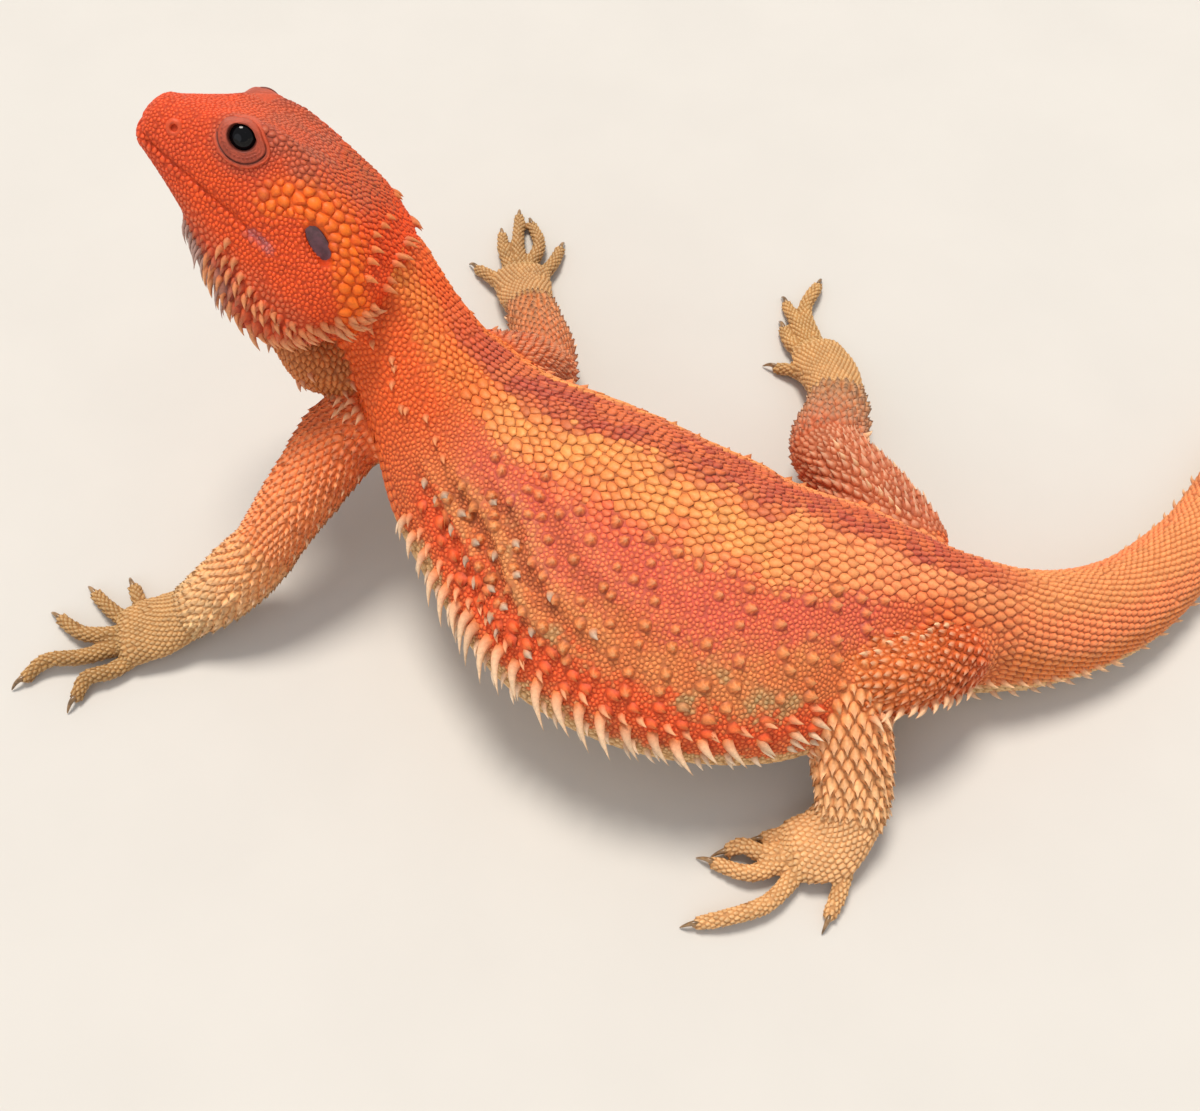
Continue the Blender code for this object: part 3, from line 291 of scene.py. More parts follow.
def body_surface(along, angle):
    """Points of body, neck and tail at millimetres along the spine and degrees round it."""
    row = smooth(BODY, BODY_ALONG, along)
    end = BODY_ALONG[-1]
    ahead = (smooth(BODY, BODY_ALONG, np.minimum(along + 1, end))
             - smooth(BODY, BODY_ALONG, np.maximum(along - 1, 0)))[:, :3]
    left, up = side_and_up(ahead, row[:, 8])
    c, s = np.cos(np.radians(angle)), np.sin(np.radians(angle))
    power = 2.0 / np.where(s >= 0, row[:, 6], row[:, 7])
    half = row[:, 3] + folds(np.interp(along, BODY_ALONG, STATIONS), angle)
    side = half * np.sign(c) * np.abs(c) ** power
    height = np.where(s >= 0, row[:, 4], row[:, 5]) * np.sign(s) * np.abs(s) ** power
    return row[:, :3] + left * side[:, None] + up * height[:, None], unit(ahead)


print("The spine line is", round(float(BODY_ALONG[-1])), "mm long.")

# %% [markdown]
# A limb, a palm and a digit are plain tubes with an oval cross-section. The head's cross-section is
# a smooth closed curve through its nine lines and their mirror images, and it closes over the snout
# and the nape. A sculpted head would be quicker to start, but these lines can each be corrected.

# %% Surface of limbs and head
def tube_surface(table, along, angle):
    """Points of a limb or a digit at millimetres along it and degrees round it."""
    rows = np.array(table, float)
    lengths = run_length(rows)
    row = smooth(rows, lengths, along)
    ahead = (smooth(rows, lengths, np.minimum(along + 0.5, lengths[-1]))
             - smooth(rows, lengths, np.maximum(along - 0.5, 0)))[:, :3]
    left, up = side_and_up(ahead, np.zeros(len(row)))
    c, s = np.cos(np.radians(angle))[:, None], np.sin(np.radians(angle))[:, None]
    return row[:, :3] + left * c * row[:, 3:4] + up * s * row[:, 4:5], unit(ahead)


def head_axes():
    """The head's forward, left and up directions, one in each row."""
    yaw, pitch, roll = (math.radians(a) for a in (HEAD_YAW, HEAD_PITCH, HEAD_ROLL))
    forward = np.array((-math.cos(pitch) * math.cos(yaw), math.cos(pitch) * math.sin(yaw),
                        math.sin(pitch)))
    left = unit(np.cross((0.0, 0.0, 1.0), forward))
    up = np.cross(forward, left)
    return np.array((forward, left * math.cos(roll) + up * math.sin(roll),
                     up * math.cos(roll) - left * math.sin(roll)))


HEAD_AXES = head_axes()


def from_head(points):
    """Points of the head's frame (forward, left, up) as drawing points."""
    return HEAD_AT + np.asarray(points, float) @ HEAD_AXES


def to_head(points):
    """Drawing points as forward, left and up of the head."""
    return (points - HEAD_AT) @ HEAD_AXES.T


def head_line(name, forward):
    """Left and up of a named line of the head at places along it."""
    keys = np.array(HEAD_LINES[name], float)[::-1]
    return smooth(keys[:, 1:], keys[:, 0], np.atleast_1d(forward))


def head_ring(forward, scale, count):
    """A ring of the head at one place, as (count, 2) of left and up."""
    half = [head_line(name, forward)[0] for name in HEAD_LINES]
    middle = (half[0] + half[-1]) / 2
    half = [middle + (p - middle) * scale for p in half]
    knots = np.array(half + [np.array((-p[0], p[1])) for p in half[-2:0:-1]])
    n = len(knots)
    spot = np.arange(count) / count * n
    i, t = spot.astype(int), (spot % 1)[:, None]
    a, b, c, d = (knots[(i + k) % n] for k in (-1, 0, 1, 2))
    return 0.5 * (2 * b + (c - a) * t + (2 * a - 5 * b + 4 * c - d) * t ** 2
                  + (3 * b - a - 3 * c + d) * t ** 3)


def head_grid(rings, count):
    """The head's surface as (rings, count, 3) points of its own frame, nape to snout."""
    stages = [(HEAD_BACK, -NAPE_ROUND * math.sin(a), math.cos(a) ** 0.8)
              for a in np.radians(np.linspace(86, 12, 8))]
    stages += [(f, 0.0, 1.0) for f in np.linspace(HEAD_BACK, HEAD_FRONT, rings)]
    stages += [(HEAD_FRONT, SNOUT_ROUND * math.sin(a), math.cos(a))
               for a in np.radians(np.linspace(12, 86, 7))]
    grid = []
    for forward, shift, scale in stages:
        ring = head_ring(forward, scale, count)
        grid.append(np.column_stack((np.full(count, forward + shift), ring)))
    return np.array(grid)


print("The head is", round(HEAD_FRONT - HEAD_BACK + SNOUT_ROUND + NAPE_ROUND, 1), "mm long.")

# %% [markdown]
# ## Solids from grids of points
# Each form becomes a mesh in the same way: rings of points one behind another, four-sided faces
# between them and a fan of triangles on each end. The result is closed, so it has an inside, which
# Boolean cuts and remeshing need.

# %% Grid solids
def place(name, data):
    """A new object in the scene that shows a mesh, a lamp or a camera."""
    obj = bpy.data.objects.new(name, data)
    bpy.context.scene.collection.objects.link(obj)
    return obj


def grid_faces(rings, count):
    """Four-sided faces between the rings of a grid, as rows of point numbers."""
    i, j = mesh_of(np.arange(rings - 1), np.arange(count))
    k = (j + 1) % count
    return np.stack((i * count + j, i * count + k, (i + 1) * count + k, (i + 1) * count + j), -1)


def grid_object(name, grid):
    """A closed solid through (rings, count, 3) drawing points, with a fan on each end."""
    rings, count = grid.shape[:2]
    points = np.vstack((grid.reshape(-1, 3), grid[0].mean(0), grid[-1].mean(0)))
    faces = grid_faces(rings, count).tolist()
    last = (rings - 1) * count
    for a in range(count):
        b = (a + 1) % count
        faces += [(b, a, rings * count), (last + a, last + b, rings * count + 1)]
    mesh = bpy.data.meshes.new(name)
    mesh.from_pydata(world(points).tolist(), [], faces)
    obj = place(name, mesh)
    bm = bmesh.new()
    bm.from_mesh(obj.data)
    bmesh.ops.recalc_face_normals(bm, faces=bm.faces)
    if bm.calc_volume(signed=True) < 0:
        bmesh.ops.reverse_faces(bm, faces=bm.faces)
    bm.to_mesh(obj.data)
    bm.free()
    return obj


def tube_grid(table, count, step):
    """Rings of a tube about every step millimetres, rounded off at both ends."""
    length = run_length(table)[-1]
    along = np.linspace(0, length, max(3, int(length / step)))
    points, ahead = tube_surface(table, *mesh_of(along, np.arange(count) * 360.0 / count))
    grid = points.reshape(len(along), count, 3)
    ahead = ahead.reshape(len(along), count, 3)
    caps = []
    for which, sign in ((0, -1), (-1, 1)):
        middle = grid[which].mean(0)
        tall = table[which][4]
        caps.append([middle + (grid[which] - middle) * math.cos(t)
                     + ahead[which][0] * sign * tall * math.sin(t) for t in (0.4, 0.8, 1.15, 1.4)])
    return np.array(caps[0][::-1] + list(grid) + caps[1])


def digit_table(digit):
    """A digit's line as a tube that tapers toward the tip."""
    last, drop = len(digit) - 1, DIGIT_RADIUS * (1 - DIGIT_SLIM)
    thick = [DIGIT_RADIUS * DIGIT_SLIM * (1 - (1 - DIGIT_TAPER) * k / last) for k in range(last + 1)]
    return [(x, y, z - drop * (k < last), thick[k], thick[k]) for k, (x, y, z) in enumerate(digit)]


print("A tube of 20 sides, 1 mm a ring, has a grid of", tube_grid(LIMBS["shin_left"], 20, 1.0).shape)

# %% [markdown]
# ## The head and its openings
# An ear is an oval pit, a nostril a small hole and an eye socket a round one. Turned forms, like
# those from a lathe, are cut out of the head as Booleans while it is still one clean form. They
# need a frame on the head's surface, with z pointing outward.

# %% The head form
def face_frame(at, axis, side):
    """World matrix on the head's surface with z outward and x forward, for one side."""
    at = np.array((at[0], at[1] * side, at[2]))
    out = unit(np.array((axis[0], axis[1] * side, axis[2])) @ HEAD_AXES)
    along = unit(HEAD_AXES[0] - out * (HEAD_AXES[0] @ out))
    across = np.cross(out, along)
    matrix = Matrix((along, across, out)).transposed().to_4x4()
    matrix.translation = Vector(world(from_head(at)))
    return matrix


def lathe(name, matrix, profile, count, stretch=(1.0, 1.0), turn=0.0):
    """A form turned about a matrix's z axis, from a profile of (radius, height) in millimetres."""
    a = np.arange(count) * 2 * np.pi / count
    c, s = math.cos(turn), math.sin(turn)
    rings = []
    for radius, height in profile:
        x, y = np.cos(a) * radius * stretch[0], np.sin(a) * radius * stretch[1]
        rings.append(np.column_stack((x * c - y * s, x * s + y * c, np.full(count, height))))
    local = np.array(rings).reshape(-1, 3) * MM
    turned = local @ np.array(matrix.to_3x3()).T + np.array(matrix.translation)
    return grid_object(name, (turned / MM + ORIGIN).reshape(len(profile), count, 3))


def slanted_oval(name, profile, count, side):
    """A form turned on the ear's frame and stretched to its slanting oval."""
    return lathe(name, face_frame(EAR_AT, EAR_AXIS, side), profile, count, (EAR_LONG, EAR_WIDE),
                 -math.radians(EAR_SLANT) * side)


def apply_modifiers(obj):
    """Replace a mesh by what its modifiers make of it."""
    mesh = bpy.data.meshes.new_from_object(obj.evaluated_get(bpy.context.evaluated_depsgraph_get()))
    obj.modifiers.clear()
    obj.data = mesh


def make_head_form():
    """The head with its ear pits, nostrils and eye sockets cut out."""
    head = grid_object("head_form", from_head(head_grid(44, 96)))
    socket, hole = EYE_OPENING + 0.9, NOSTRIL_RADIUS
    cutters = []
    for side in SIDES:
        eye, nostril = face_frame(EYE_AT, EYE_AXIS, side), face_frame(NOSTRIL_AT, NOSTRIL_AXIS, side)
        cutters += [lathe("socket", eye, ((socket, -3.0), (socket, 6.0)), 48),
                    slanted_oval("ear_hole", ((0.8, -2.8), (0.95, -1.4), (1.05, 5.0)), 40, side),
                    lathe("nostril_hole", nostril, ((hole, -1.8), (hole, 3.0)), 24)]
    for cutter in cutters:
        cut = head.modifiers.new("cut", "BOOLEAN")
        cut.operation, cut.solver, cut.object = "DIFFERENCE", "MANIFOLD", cutter
    apply_modifiers(head)
    for cutter in cutters:
        bpy.data.objects.remove(cutter)
    return head


head_form = make_head_form()
print("The head form with its openings has", len(head_form.data.polygons), "faces.")

# %% [markdown]
# ## The beard pouch
# A bearded dragon spreads the skin of its throat into a beard. It is a soft pouch that hangs from
# the jaw, so its rings lie square to the head and not to the floor. A ball would be too round.

# %% The pouch and the other plain forms
def pouch_grid(rings, count):
    """The beard pouch as (rings + 8, count, 3) drawing points, rounded off at both ends."""
    rows = np.array([(*from_head(row[:3]), row[3], row[4]) for row in BEARD])
    lengths = run_length(rows)
    here = smooth(rows, lengths, np.linspace(0, lengths[-1], rings))
    angle = (np.arange(count) * 2 * np.pi / count)[:, None]
    cap = (1.4, 1.1, 0.7, 0.35)
    stages = ([(here[0], -math.sin(t), math.cos(t)) for t in cap] + [(row, 0.0, 1.0) for row in here]
              + [(here[-1], math.sin(t), math.cos(t)) for t in cap[::-1]])
    front, rear = unit(here[1][:3] - here[0][:3]), unit(here[-1][:3] - here[-2][:3])
    out = []
    for k, (row, far, scale) in enumerate(stages):
        tangent = front if k < len(cap) + 2 else rear        # only the first two rings face forward
        up = unit(HEAD_AXES[2] - tangent * (HEAD_AXES[2] @ tangent))
        out.append(row[:3] + tangent * row[4] * far + HEAD_AXES[1] * np.cos(angle) * row[3] * scale
                   + up * np.sin(angle) * row[4] * scale)
    return np.array(out)


def make_forms(body_rings=260, sides=96):
    """The plain forms that the skin is drawn over."""
    s, a = mesh_of(np.linspace(0.0, BODY_ALONG[-1], body_rings), np.arange(sides) * 360.0 / sides)
    forms = [grid_object("body_form", body_surface(s, a)[0].reshape(body_rings, sides, 3)), head_form,
             grid_object("pouch_form", pouch_grid(22, 48))]
    for name, table in LIMBS.items():
        forms.append(grid_object(name + "_form", tube_grid(table, 40, 1.5)))
    for name, parts in HANDS.items():
        forms.append(grid_object(name + "_form", tube_grid(parts["palm"], 36, 1.5)))
        for digit in parts["digits"]:
            forms.append(grid_object("digit_form", tube_grid(digit_table(digit), 20, 1.0)))
    return forms


forms = make_forms()
print("There are", len(forms), "plain forms.")

# %% [markdown]
# ## One closed skin
# The forms pass into one another as plain tubes. A Boolean union would leave a hard crease at each
# armpit. Voxel remeshing turns all of them into one closed surface, and a few rounds of smoothing
# give the soft web of skin that joins a leg to a flank. The thin digits are smoothed less.

# %% Remesh the forms into a skin
def tree_of(points):
    """A tree that finds the nearest of many points."""
    tree = KDTree(len(points))
    for k, p in enumerate(points.tolist()):
        tree.insert(p, k)
    tree.balance()
    return tree


def read_vertices(mesh, what):
    """One three-part value of every vertex of a mesh, such as co or normal."""
    values = np.empty(len(mesh.vertices) * 3)
    mesh.vertices.foreach_get(what, values)
    return values.reshape(-1, 3)


def slimness(points):
    """1 on the digits, which must not shrink in smoothing, falling to 0 at the wrists."""
    lines = []
    for parts in HANDS.values():
        for digit in parts["digits"]:
            lengths = run_length(digit)
            lines.append(smooth(np.array(digit, float), lengths, np.linspace(0.1, 1, 12) * lengths[-1]))
    tree = tree_of(np.concatenate(lines))
    gap = np.array([tree.find(p)[2] for p in points.tolist()])
    return 1 - step_between(gap, 2.6, 5.0)


def make_skin(forms, voxel=0.8, rounds=7, inset=0.35, floor_gap=0.12):
    """Join the forms, remesh them into one closed surface, smooth it and draw it in a little."""
    bm = bmesh.new()
    for form in forms:
        bm.from_mesh(form.data)
        bpy.data.objects.remove(form)
    mesh = bpy.data.meshes.new("skin")
    bm.to_mesh(mesh)
    bm.free()
    skin = place("skin", mesh)
    remesh = skin.modifiers.new("remesh", "REMESH")
    remesh.mode, remesh.voxel_size, remesh.use_smooth_shade = "VOXEL", voxel * MM, True
    apply_modifiers(skin)
    loosen = skin.vertex_groups.new(name="loosen")
    slim = slimness(read_vertices(skin.data, "co") / MM + ORIGIN)
    for k, amount in enumerate(slim):
        loosen.add([k], float(1 - 0.85 * amount), "REPLACE")
    soften = skin.modifiers.new("soften", "SMOOTH")
    soften.factor, soften.iterations, soften.vertex_group = 0.5, rounds, "loosen"
    apply_modifiers(skin)
    mesh = skin.data
    co = read_vertices(mesh, "co") - read_vertices(mesh, "normal") * (inset * (1 - slim) * MM)[:, None]
    co[:, 2] = np.maximum(co[:, 2], floor_gap * MM)
    mesh.vertices.foreach_set("co", co.ravel())
    mesh.update()
    return skin


skin = make_skin(forms)
print("The skin has", len(skin.data.polygons), "faces.")

# %% [markdown]
# ## A chart of the skin
# Colour and scale size change with the place on the animal: which part it is, how far along and at
# which angle round. After remeshing, a skin point no longer knows this. So a chart is kept: dense
# sample points of every form, each with its part, its place and the way its scales lie. The
# nearest sample then answers for any skin point. The chart also holds each sample's place on an
# unwrapped rectangle, which the coat's UV map uses later.

# %% Chart samples of every part
PARTS = ["body", "head", "pouch"] + list(LIMBS) + list(HANDS)
fine_head = head_grid(60, 120)
chart = {key: [] for key in ("point", "lie", "part", "a", "b", "u", "v")}


def add_chart(part, points, lie, a, b, u, v):
    """Add samples of one part: a is the place along, b the angle round, u and v the unwrapped place."""
    n = len(points)
    for key, value in (("point", points), ("lie", lie), ("part", np.full(n, PARTS.index(part))),
                       ("a", a), ("b", b), ("u", u), ("v", v)):
        chart[key].append(np.broadcast_to(value, (n, 3) if key in ("point", "lie") else (n,)))


def chart_body():
    """Samples of body, neck and tail."""
    s, a = mesh_of(np.linspace(0, BODY_ALONG[-1], 420), np.arange(144) * 2.5 - 90)
    points, ahead = body_surface(s, a)
    add_chart("body", points, -ahead, np.interp(s, BODY_ALONG, STATIONS), a, s / BODY_ALONG[-1],
              (a + 90) / 360)


def chart_head():
    """Samples of head and pouch, whose scales all point to the rear."""
    for part, grid in (("head", from_head(fine_head)), ("pouch", pouch_grid(26, 60))):
        rings, count = grid.shape[:2]
        i, k = mesh_of(np.arange(rings), np.arange(count))
        along = fine_head[:, :, 0].ravel() if part == "head" else i / rings
        add_chart(part, grid.reshape(-1, 3), -HEAD_AXES[0], along, k * (360.0 / count), i / rings,
                  k / count)


def chart_tube(table, rings, count):
    """Points and directions all over a tube, their places along it, its length and their angles."""
    length = run_length(table)[-1]
    s, a = mesh_of(np.linspace(0, length, rings), np.arange(count) * (360.0 / count))
    return *tube_surface(table, s, a), s, length, a


def chart_limbs():
    """Samples of limbs and hands, where a runs from 0 to 1 in the palm and on by 1 for each digit."""
    for name, table in LIMBS.items():
        points, ahead, s, length, a = chart_tube(table, 50, 60)
        add_chart(name, points, ahead, s / length, a, s / length, a / 360)
    for name, parts in HANDS.items():
        tables = [parts["palm"]] + [digit_table(digit) for digit in parts["digits"]]
        for k, table in enumerate(tables):
            points, ahead, s, length, a = chart_tube(table, 40, 36)
            u = 0.4 * s / length if k == 0 else 0.42 + 0.57 * s / length
            v = a / 360 if k == 0 else (k - 1 + a / 360) / 5
            add_chart(name, points, ahead, k + 0.999 * s / length, a, u, v)


chart_body()
chart_head()
chart_limbs()
chart = {key: np.concatenate(value) for key, value in chart.items()}
chart_tree = tree_of(chart["point"])


def look_up(points):
    """The chart's rows nearest to drawing points."""
    return np.array([chart_tree.find(p)[1] for p in points.tolist()])


print("The chart has", len(chart["part"]), "samples.")

# %% [markdown]
# ## The skin's mouth line
# The lips close along a fine groove from the snout back to a corner under the eye. It is pressed
# into the finished skin along the same line that the CAD head has, because a groove cut before
# remeshing would be smoothed away.

# %% Press in the mouth line
def skin_points():
    """The skin's vertices as drawing points."""
    return read_vertices(skin.data, "co") / MM + ORIGIN


def lip_height(forward):
    """The up value of the mouth line in the head's frame."""
    lip = head_line("lip", np.clip(forward, HEAD_BACK, HEAD_FRONT))[:, 1]
    middle = (head_line("crown", HEAD_FRONT)[0, 1] + head_line("chin", HEAD_FRONT)[0, 1]) / 2
    tip = np.clip((forward - HEAD_FRONT) / SNOUT_ROUND, 0, 1)
    return middle + (lip - middle) * np.sqrt(1 - tip ** 2)


def mouth_depth(points):
    """How near to the mouth line drawing points are: 1 on it and 0 away from it."""
    f, _, up = to_head(points).T
    return step_between(f, MOUTH_CORNER - 1, MOUTH_CORNER + 1) * bump_at(up, lip_height(f), 0.6)


points = skin_points()
on_head = chart["part"][look_up(points)] == PARTS.index("head")
points -= read_vertices(skin.data, "normal") * (mouth_depth(points) * on_head * MOUTH_DEEP)[:, None]
skin.data.vertices.foreach_set("co", world(points).ravel())
skin.data.update()
skin_surface = BVHTree.FromPolygons(points.tolist(), [tuple(p.vertices) for p in skin.data.polygons])
print("The mouth line runs", round(HEAD_FRONT + SNOUT_ROUND - MOUTH_CORNER), "mm along the head.")

# %% [markdown]
# ## Colours as sRGB values
# Colours are written as on a colour chart, in sRGB hex, and one function turns them into the linear
# values that Blender works with.

# %% Colour helper
def tint(code):
    """Linear red, green and blue of an sRGB hex colour."""
    value = np.array([int(code[i:i + 2], 16) / 255 for i in (1, 3, 5)])
    return np.where(value <= 0.04045, value / 12.92, ((value + 0.055) / 1.055) ** 2.4)


print("Cream of the fringe, linear:", tint("#e6b98e").round(3))

# %% [markdown]
# ## Spines
# The spines of beard, flank, nape, tail and legs are single scales drawn out to a point: hollow
# horn over a soft core, broad at the root, bent back and often darker at the root than at the tip.
# A cone primitive would look like a party hat. Here each spine is a small lofted horn with eight
# sides and six rings, and all spines of one region are one mesh. Every spine keeps its colour at
# root and tip as a point colour, and a small patch of UV at its root's place on the chart. A row
# from a copied object would be perfectly even, so seeded random draws vary length, lean and shade.

# %% Root the spines
DICE = np.random.RandomState(SEED)
UPWARD = np.array((0.0, 0.0, 1.0))


def snap(points):
    """The skin's nearest points, outward directions and distances for drawing points."""
    hits = [skin_surface.find_nearest(p) for p in points.tolist()]
    return (np.array([h[0] for h in hits]), unit(np.array([h[1] for h in hits])),
            np.array([h[3] for h in hits]))


def along_skin(lie, outward):
    """Directions laid down into the skin's tangent plane."""
    return unit(lie - outward * (lie * outward).sum(1)[:, None])


def add_spines(group, points, length, radius, lean, fall=0.0, droop=0.0, root="#d9662c", tip="#e8bd92",
               vary=0.12, lie=None):
    """Root spines on the skin near drawing points; they lean along the lie of the scales and fall."""
    root_at, outward, _ = snap(points)
    near = look_up(root_at)
    lie = chart["lie"][near] if lie is None else np.broadcast_to(lie, root_at.shape)
    lie = along_skin(lie, outward)
    n = len(root_at)
    lean = lean * DICE.uniform(0.8, 1.2, n)[:, None]
    way = unit(outward + lie * lean - UPWARD * fall + DICE.normal(0, 0.07, (n, 3)))
    ones = np.ones(n)
    shade = DICE.uniform(1 - vary, 1 + vary, (n, 1))
    group.append({"root": root_at, "outward": outward, "way": way,
                  "length": length * ones * DICE.uniform(0.85, 1.15, n), "radius": radius * ones,
                  "droop": droop * ones, "first": tint(root) * shade, "last": tint(tip) * shade,
                  "u": chart["u"][near], "v": chart["v"][near]})


def rooted_in(groups):
    """How many spines some groups have."""
    return sum(len(group["root"]) for group in groups)


print("Point colours of root and tip:", tint("#d9662c").round(2), tint("#e8bd92").round(2))

# %% [markdown]
# The coat has tens of thousands of small parts, so its meshes are filled from whole arrays: points,
# triangles, colours and UV in one go each. Adding them face by face would take minutes.

# %% Meshes from whole arrays
PATCH = 0.003         # width of one spine or scale on the UV map
LOWEST = 0.02         # the floor presses flat what lies on it


def paint_points(obj, colours):
    """Keep linear colours on a mesh's points, for its material to read."""
    layer = obj.data.attributes.new("Tint", "FLOAT_COLOR", "POINT")
    rgba = np.ones((len(colours), 4), np.float32)
    rgba[:, :3] = np.clip(colours, 0, 1)
    layer.data.foreach_set("color", rgba.ravel())


def round_patch(sides, radius):
    """A small round patch of UV: one turn for every sides points, each at its own radius."""
    turn = np.arange(len(radius)) * 2 * np.pi / sides
    return np.column_stack((np.cos(turn), np.sin(turn))) * radius[:, None]


def spread_uv(spot, patch, low, high):
    """UV of small patches at their roots' places, with the piece's places spread over the chart."""
    spot = (spot - low) / np.maximum(high - low, 1e-6)
    return (spot[:, None] * 0.99 + 0.005 + patch[None]).reshape(-1, 2)


def fan_faces(rings, sides, copies=1, start=0):
    """Triangles of copies of one horn, whose points are rings and then a tip."""
    faces = []
    for r in range(rings - 1):
        for k in range(sides):
            a, b = r * sides + k, r * sides + (k + 1) % sides
            faces += [(a, b, b + sides), (a, b + sides, a + sides)]
    last = (rings - 1) * sides
    faces += [(last + k, last + (k + 1) % sides, rings * sides) for k in range(sides)]
    first = start + np.arange(copies) * (rings * sides + 1)
    return (np.array(faces)[None] + first[:, None, None]).reshape(-1, 3)


def build_mesh(name, points, faces, colours, uv):
    """A smooth mesh of triangles from whole arrays, with point colours and the coat's UV map."""
    points[:, 2] = np.maximum(points[:, 2], LOWEST)
    mesh = bpy.data.meshes.new(name)
    mesh.vertices.add(len(points))
    mesh.vertices.foreach_set("co", world(points).astype(np.float32).ravel())
    mesh.loops.add(faces.size)
    mesh.loops.foreach_set("vertex_index", faces.astype(np.int32).ravel())
    mesh.polygons.add(len(faces))
    mesh.polygons.foreach_set("loop_start", np.arange(len(faces), dtype=np.int32) * 3)
    mesh.polygons.foreach_set("use_smooth", np.ones(len(faces), bool))
    layer = mesh.uv_layers.new(name="OFBake")
    layer.uv.foreach_set("vector", uv[faces.ravel()].astype(np.float32).ravel())
    mesh.update(calc_edges=True)
    obj = place(name, mesh)
    paint_points(obj, colours)
    return obj


print("A scale with 8 sides has", len(fan_faces(2, 8)), "triangles.")

# %% [markdown]
# Each spine leaves the skin square to it and then bends back, along a curve of three points: a
# start just under the skin, a bend above it and the end. Its ribs are two alternating radii.

# %% Loft the spines
SPINE_SIDES = 8
SPINE_RINGS = ((-0.12, 1.12), (0.02, 1.0), (0.22, 0.80), (0.45, 0.58), (0.68, 0.36), (0.88, 0.15))
RIB = 0.07


def grow_spines(name, group):
    """One mesh of all the spines in a group."""
    s = {key: np.concatenate([g[key] for g in group]) for key in group[0]}
    across = unit(np.cross(s["way"], s["outward"] + 0.03))
    start = s["root"] - s["outward"] * 0.2
    bend = s["root"] + (s["outward"] * 0.36 + s["way"] * 0.06) * s["length"][:, None]
    end = s["root"] + s["way"] * s["length"][:, None] - UPWARD * (s["droop"] * s["length"])[:, None]
    end[:, 2] = np.maximum(end[:, 2], 0.5)              # low spines rest along the floor
    points, shade = [], []
    for far, thick in SPINE_RINGS + ((1.0, 0.0),):
        t = max(far, 0.0)
        middle = start * (1 - t) ** 2 + bend * (2 * t * (1 - t)) + end * t * t
        middle = middle + s["outward"] * min(far, 0)
        over = np.cross(across, unit((bend - start) * (1 - t) + (end - bend) * t))
        blend = np.clip(far * 1.7 - 0.1, 0, 1) ** 0.7
        for k in range(SPINE_SIDES if thick else 1):
            a = 2 * math.pi * k / SPINE_SIDES
            rib = thick * (1.0 + RIB * (-1) ** k) * s["radius"][:, None]
            points.append(middle + (across * math.cos(a) + over * math.sin(a)) * rib)
            shade.append(s["first"] * (1 - blend) + s["last"] * blend)
    points, shade = np.stack(points, 1), np.stack(shade, 1)
    count, per = points.shape[:2]
    spot = np.stack((s["u"], s["v"]), 1)
    patch = round_patch(SPINE_SIDES, np.full(per, PATCH / 2))
    return build_mesh(name, points.reshape(-1, 3), fan_faces(len(SPINE_RINGS), SPINE_SIDES, count),
                      shade.reshape(-1, 3), spread_uv(spot, patch, spot.min(0), spot.max(0)))


print("Each spine has", len(fan_faces(len(SPINE_RINGS), SPINE_SIDES)), "triangles.")

# %% [markdown]
# ## Where the spines grow
# The longest ones stand in a fringe where flank meets belly, with a shorter row below it and small
# ones between. The beard's edge has a row of stout spikes and looser ones under it. Nape, temples,
# tail base and legs have short ones. Rows follow the same named lines as the CAD model.

# %% Spines of the flank, the neck and the tail
FRINGE = ((13.05, -10), (12.8, -8), (12.4, -6), (11.85, 0), (11.5, 1), (11.1, 1), (10.45, 0), (10.1, 2),
          (9.95, 5), (9.6, 12))
SWELL = ((0, 0.3, 0.7, 1), (0.5, 0.85, 1.0, 0.6))       # the row is longest behind its middle
EVEN = (0.5, 1.5)            # millimetres and degrees by which the spines of a tidy row stray


def along_path(path, count, sway, turn):
    """Body points on both sides along a path of (station, angle), evenly spaced with some sway."""
    keys = np.array(path, float)[::-1]
    first, last = np.interp((keys[0, 0], keys[-1, 0]), STATIONS, BODY_ALONG)
    points = []
    for side in (0, 1):
        s = np.linspace(first, last, count) + DICE.uniform(-sway, sway, count)
        angle = np.interp(np.interp(s, BODY_ALONG, STATIONS), keys[:, 0], keys[:, 1])
        angle = angle + DICE.uniform(-turn, turn, count)
        points.append(body_surface(s, 180 - angle if side else angle)[0])
    return np.concatenate(points)


def swell(count):
    """Sizes for a row on both sides."""
    return np.tile(np.interp(np.linspace(0, 1, count), *SWELL), 2)


def shifted(path, turn):
    """A path moved round the body by some degrees."""
    return [(a, b + turn) for a, b in path]


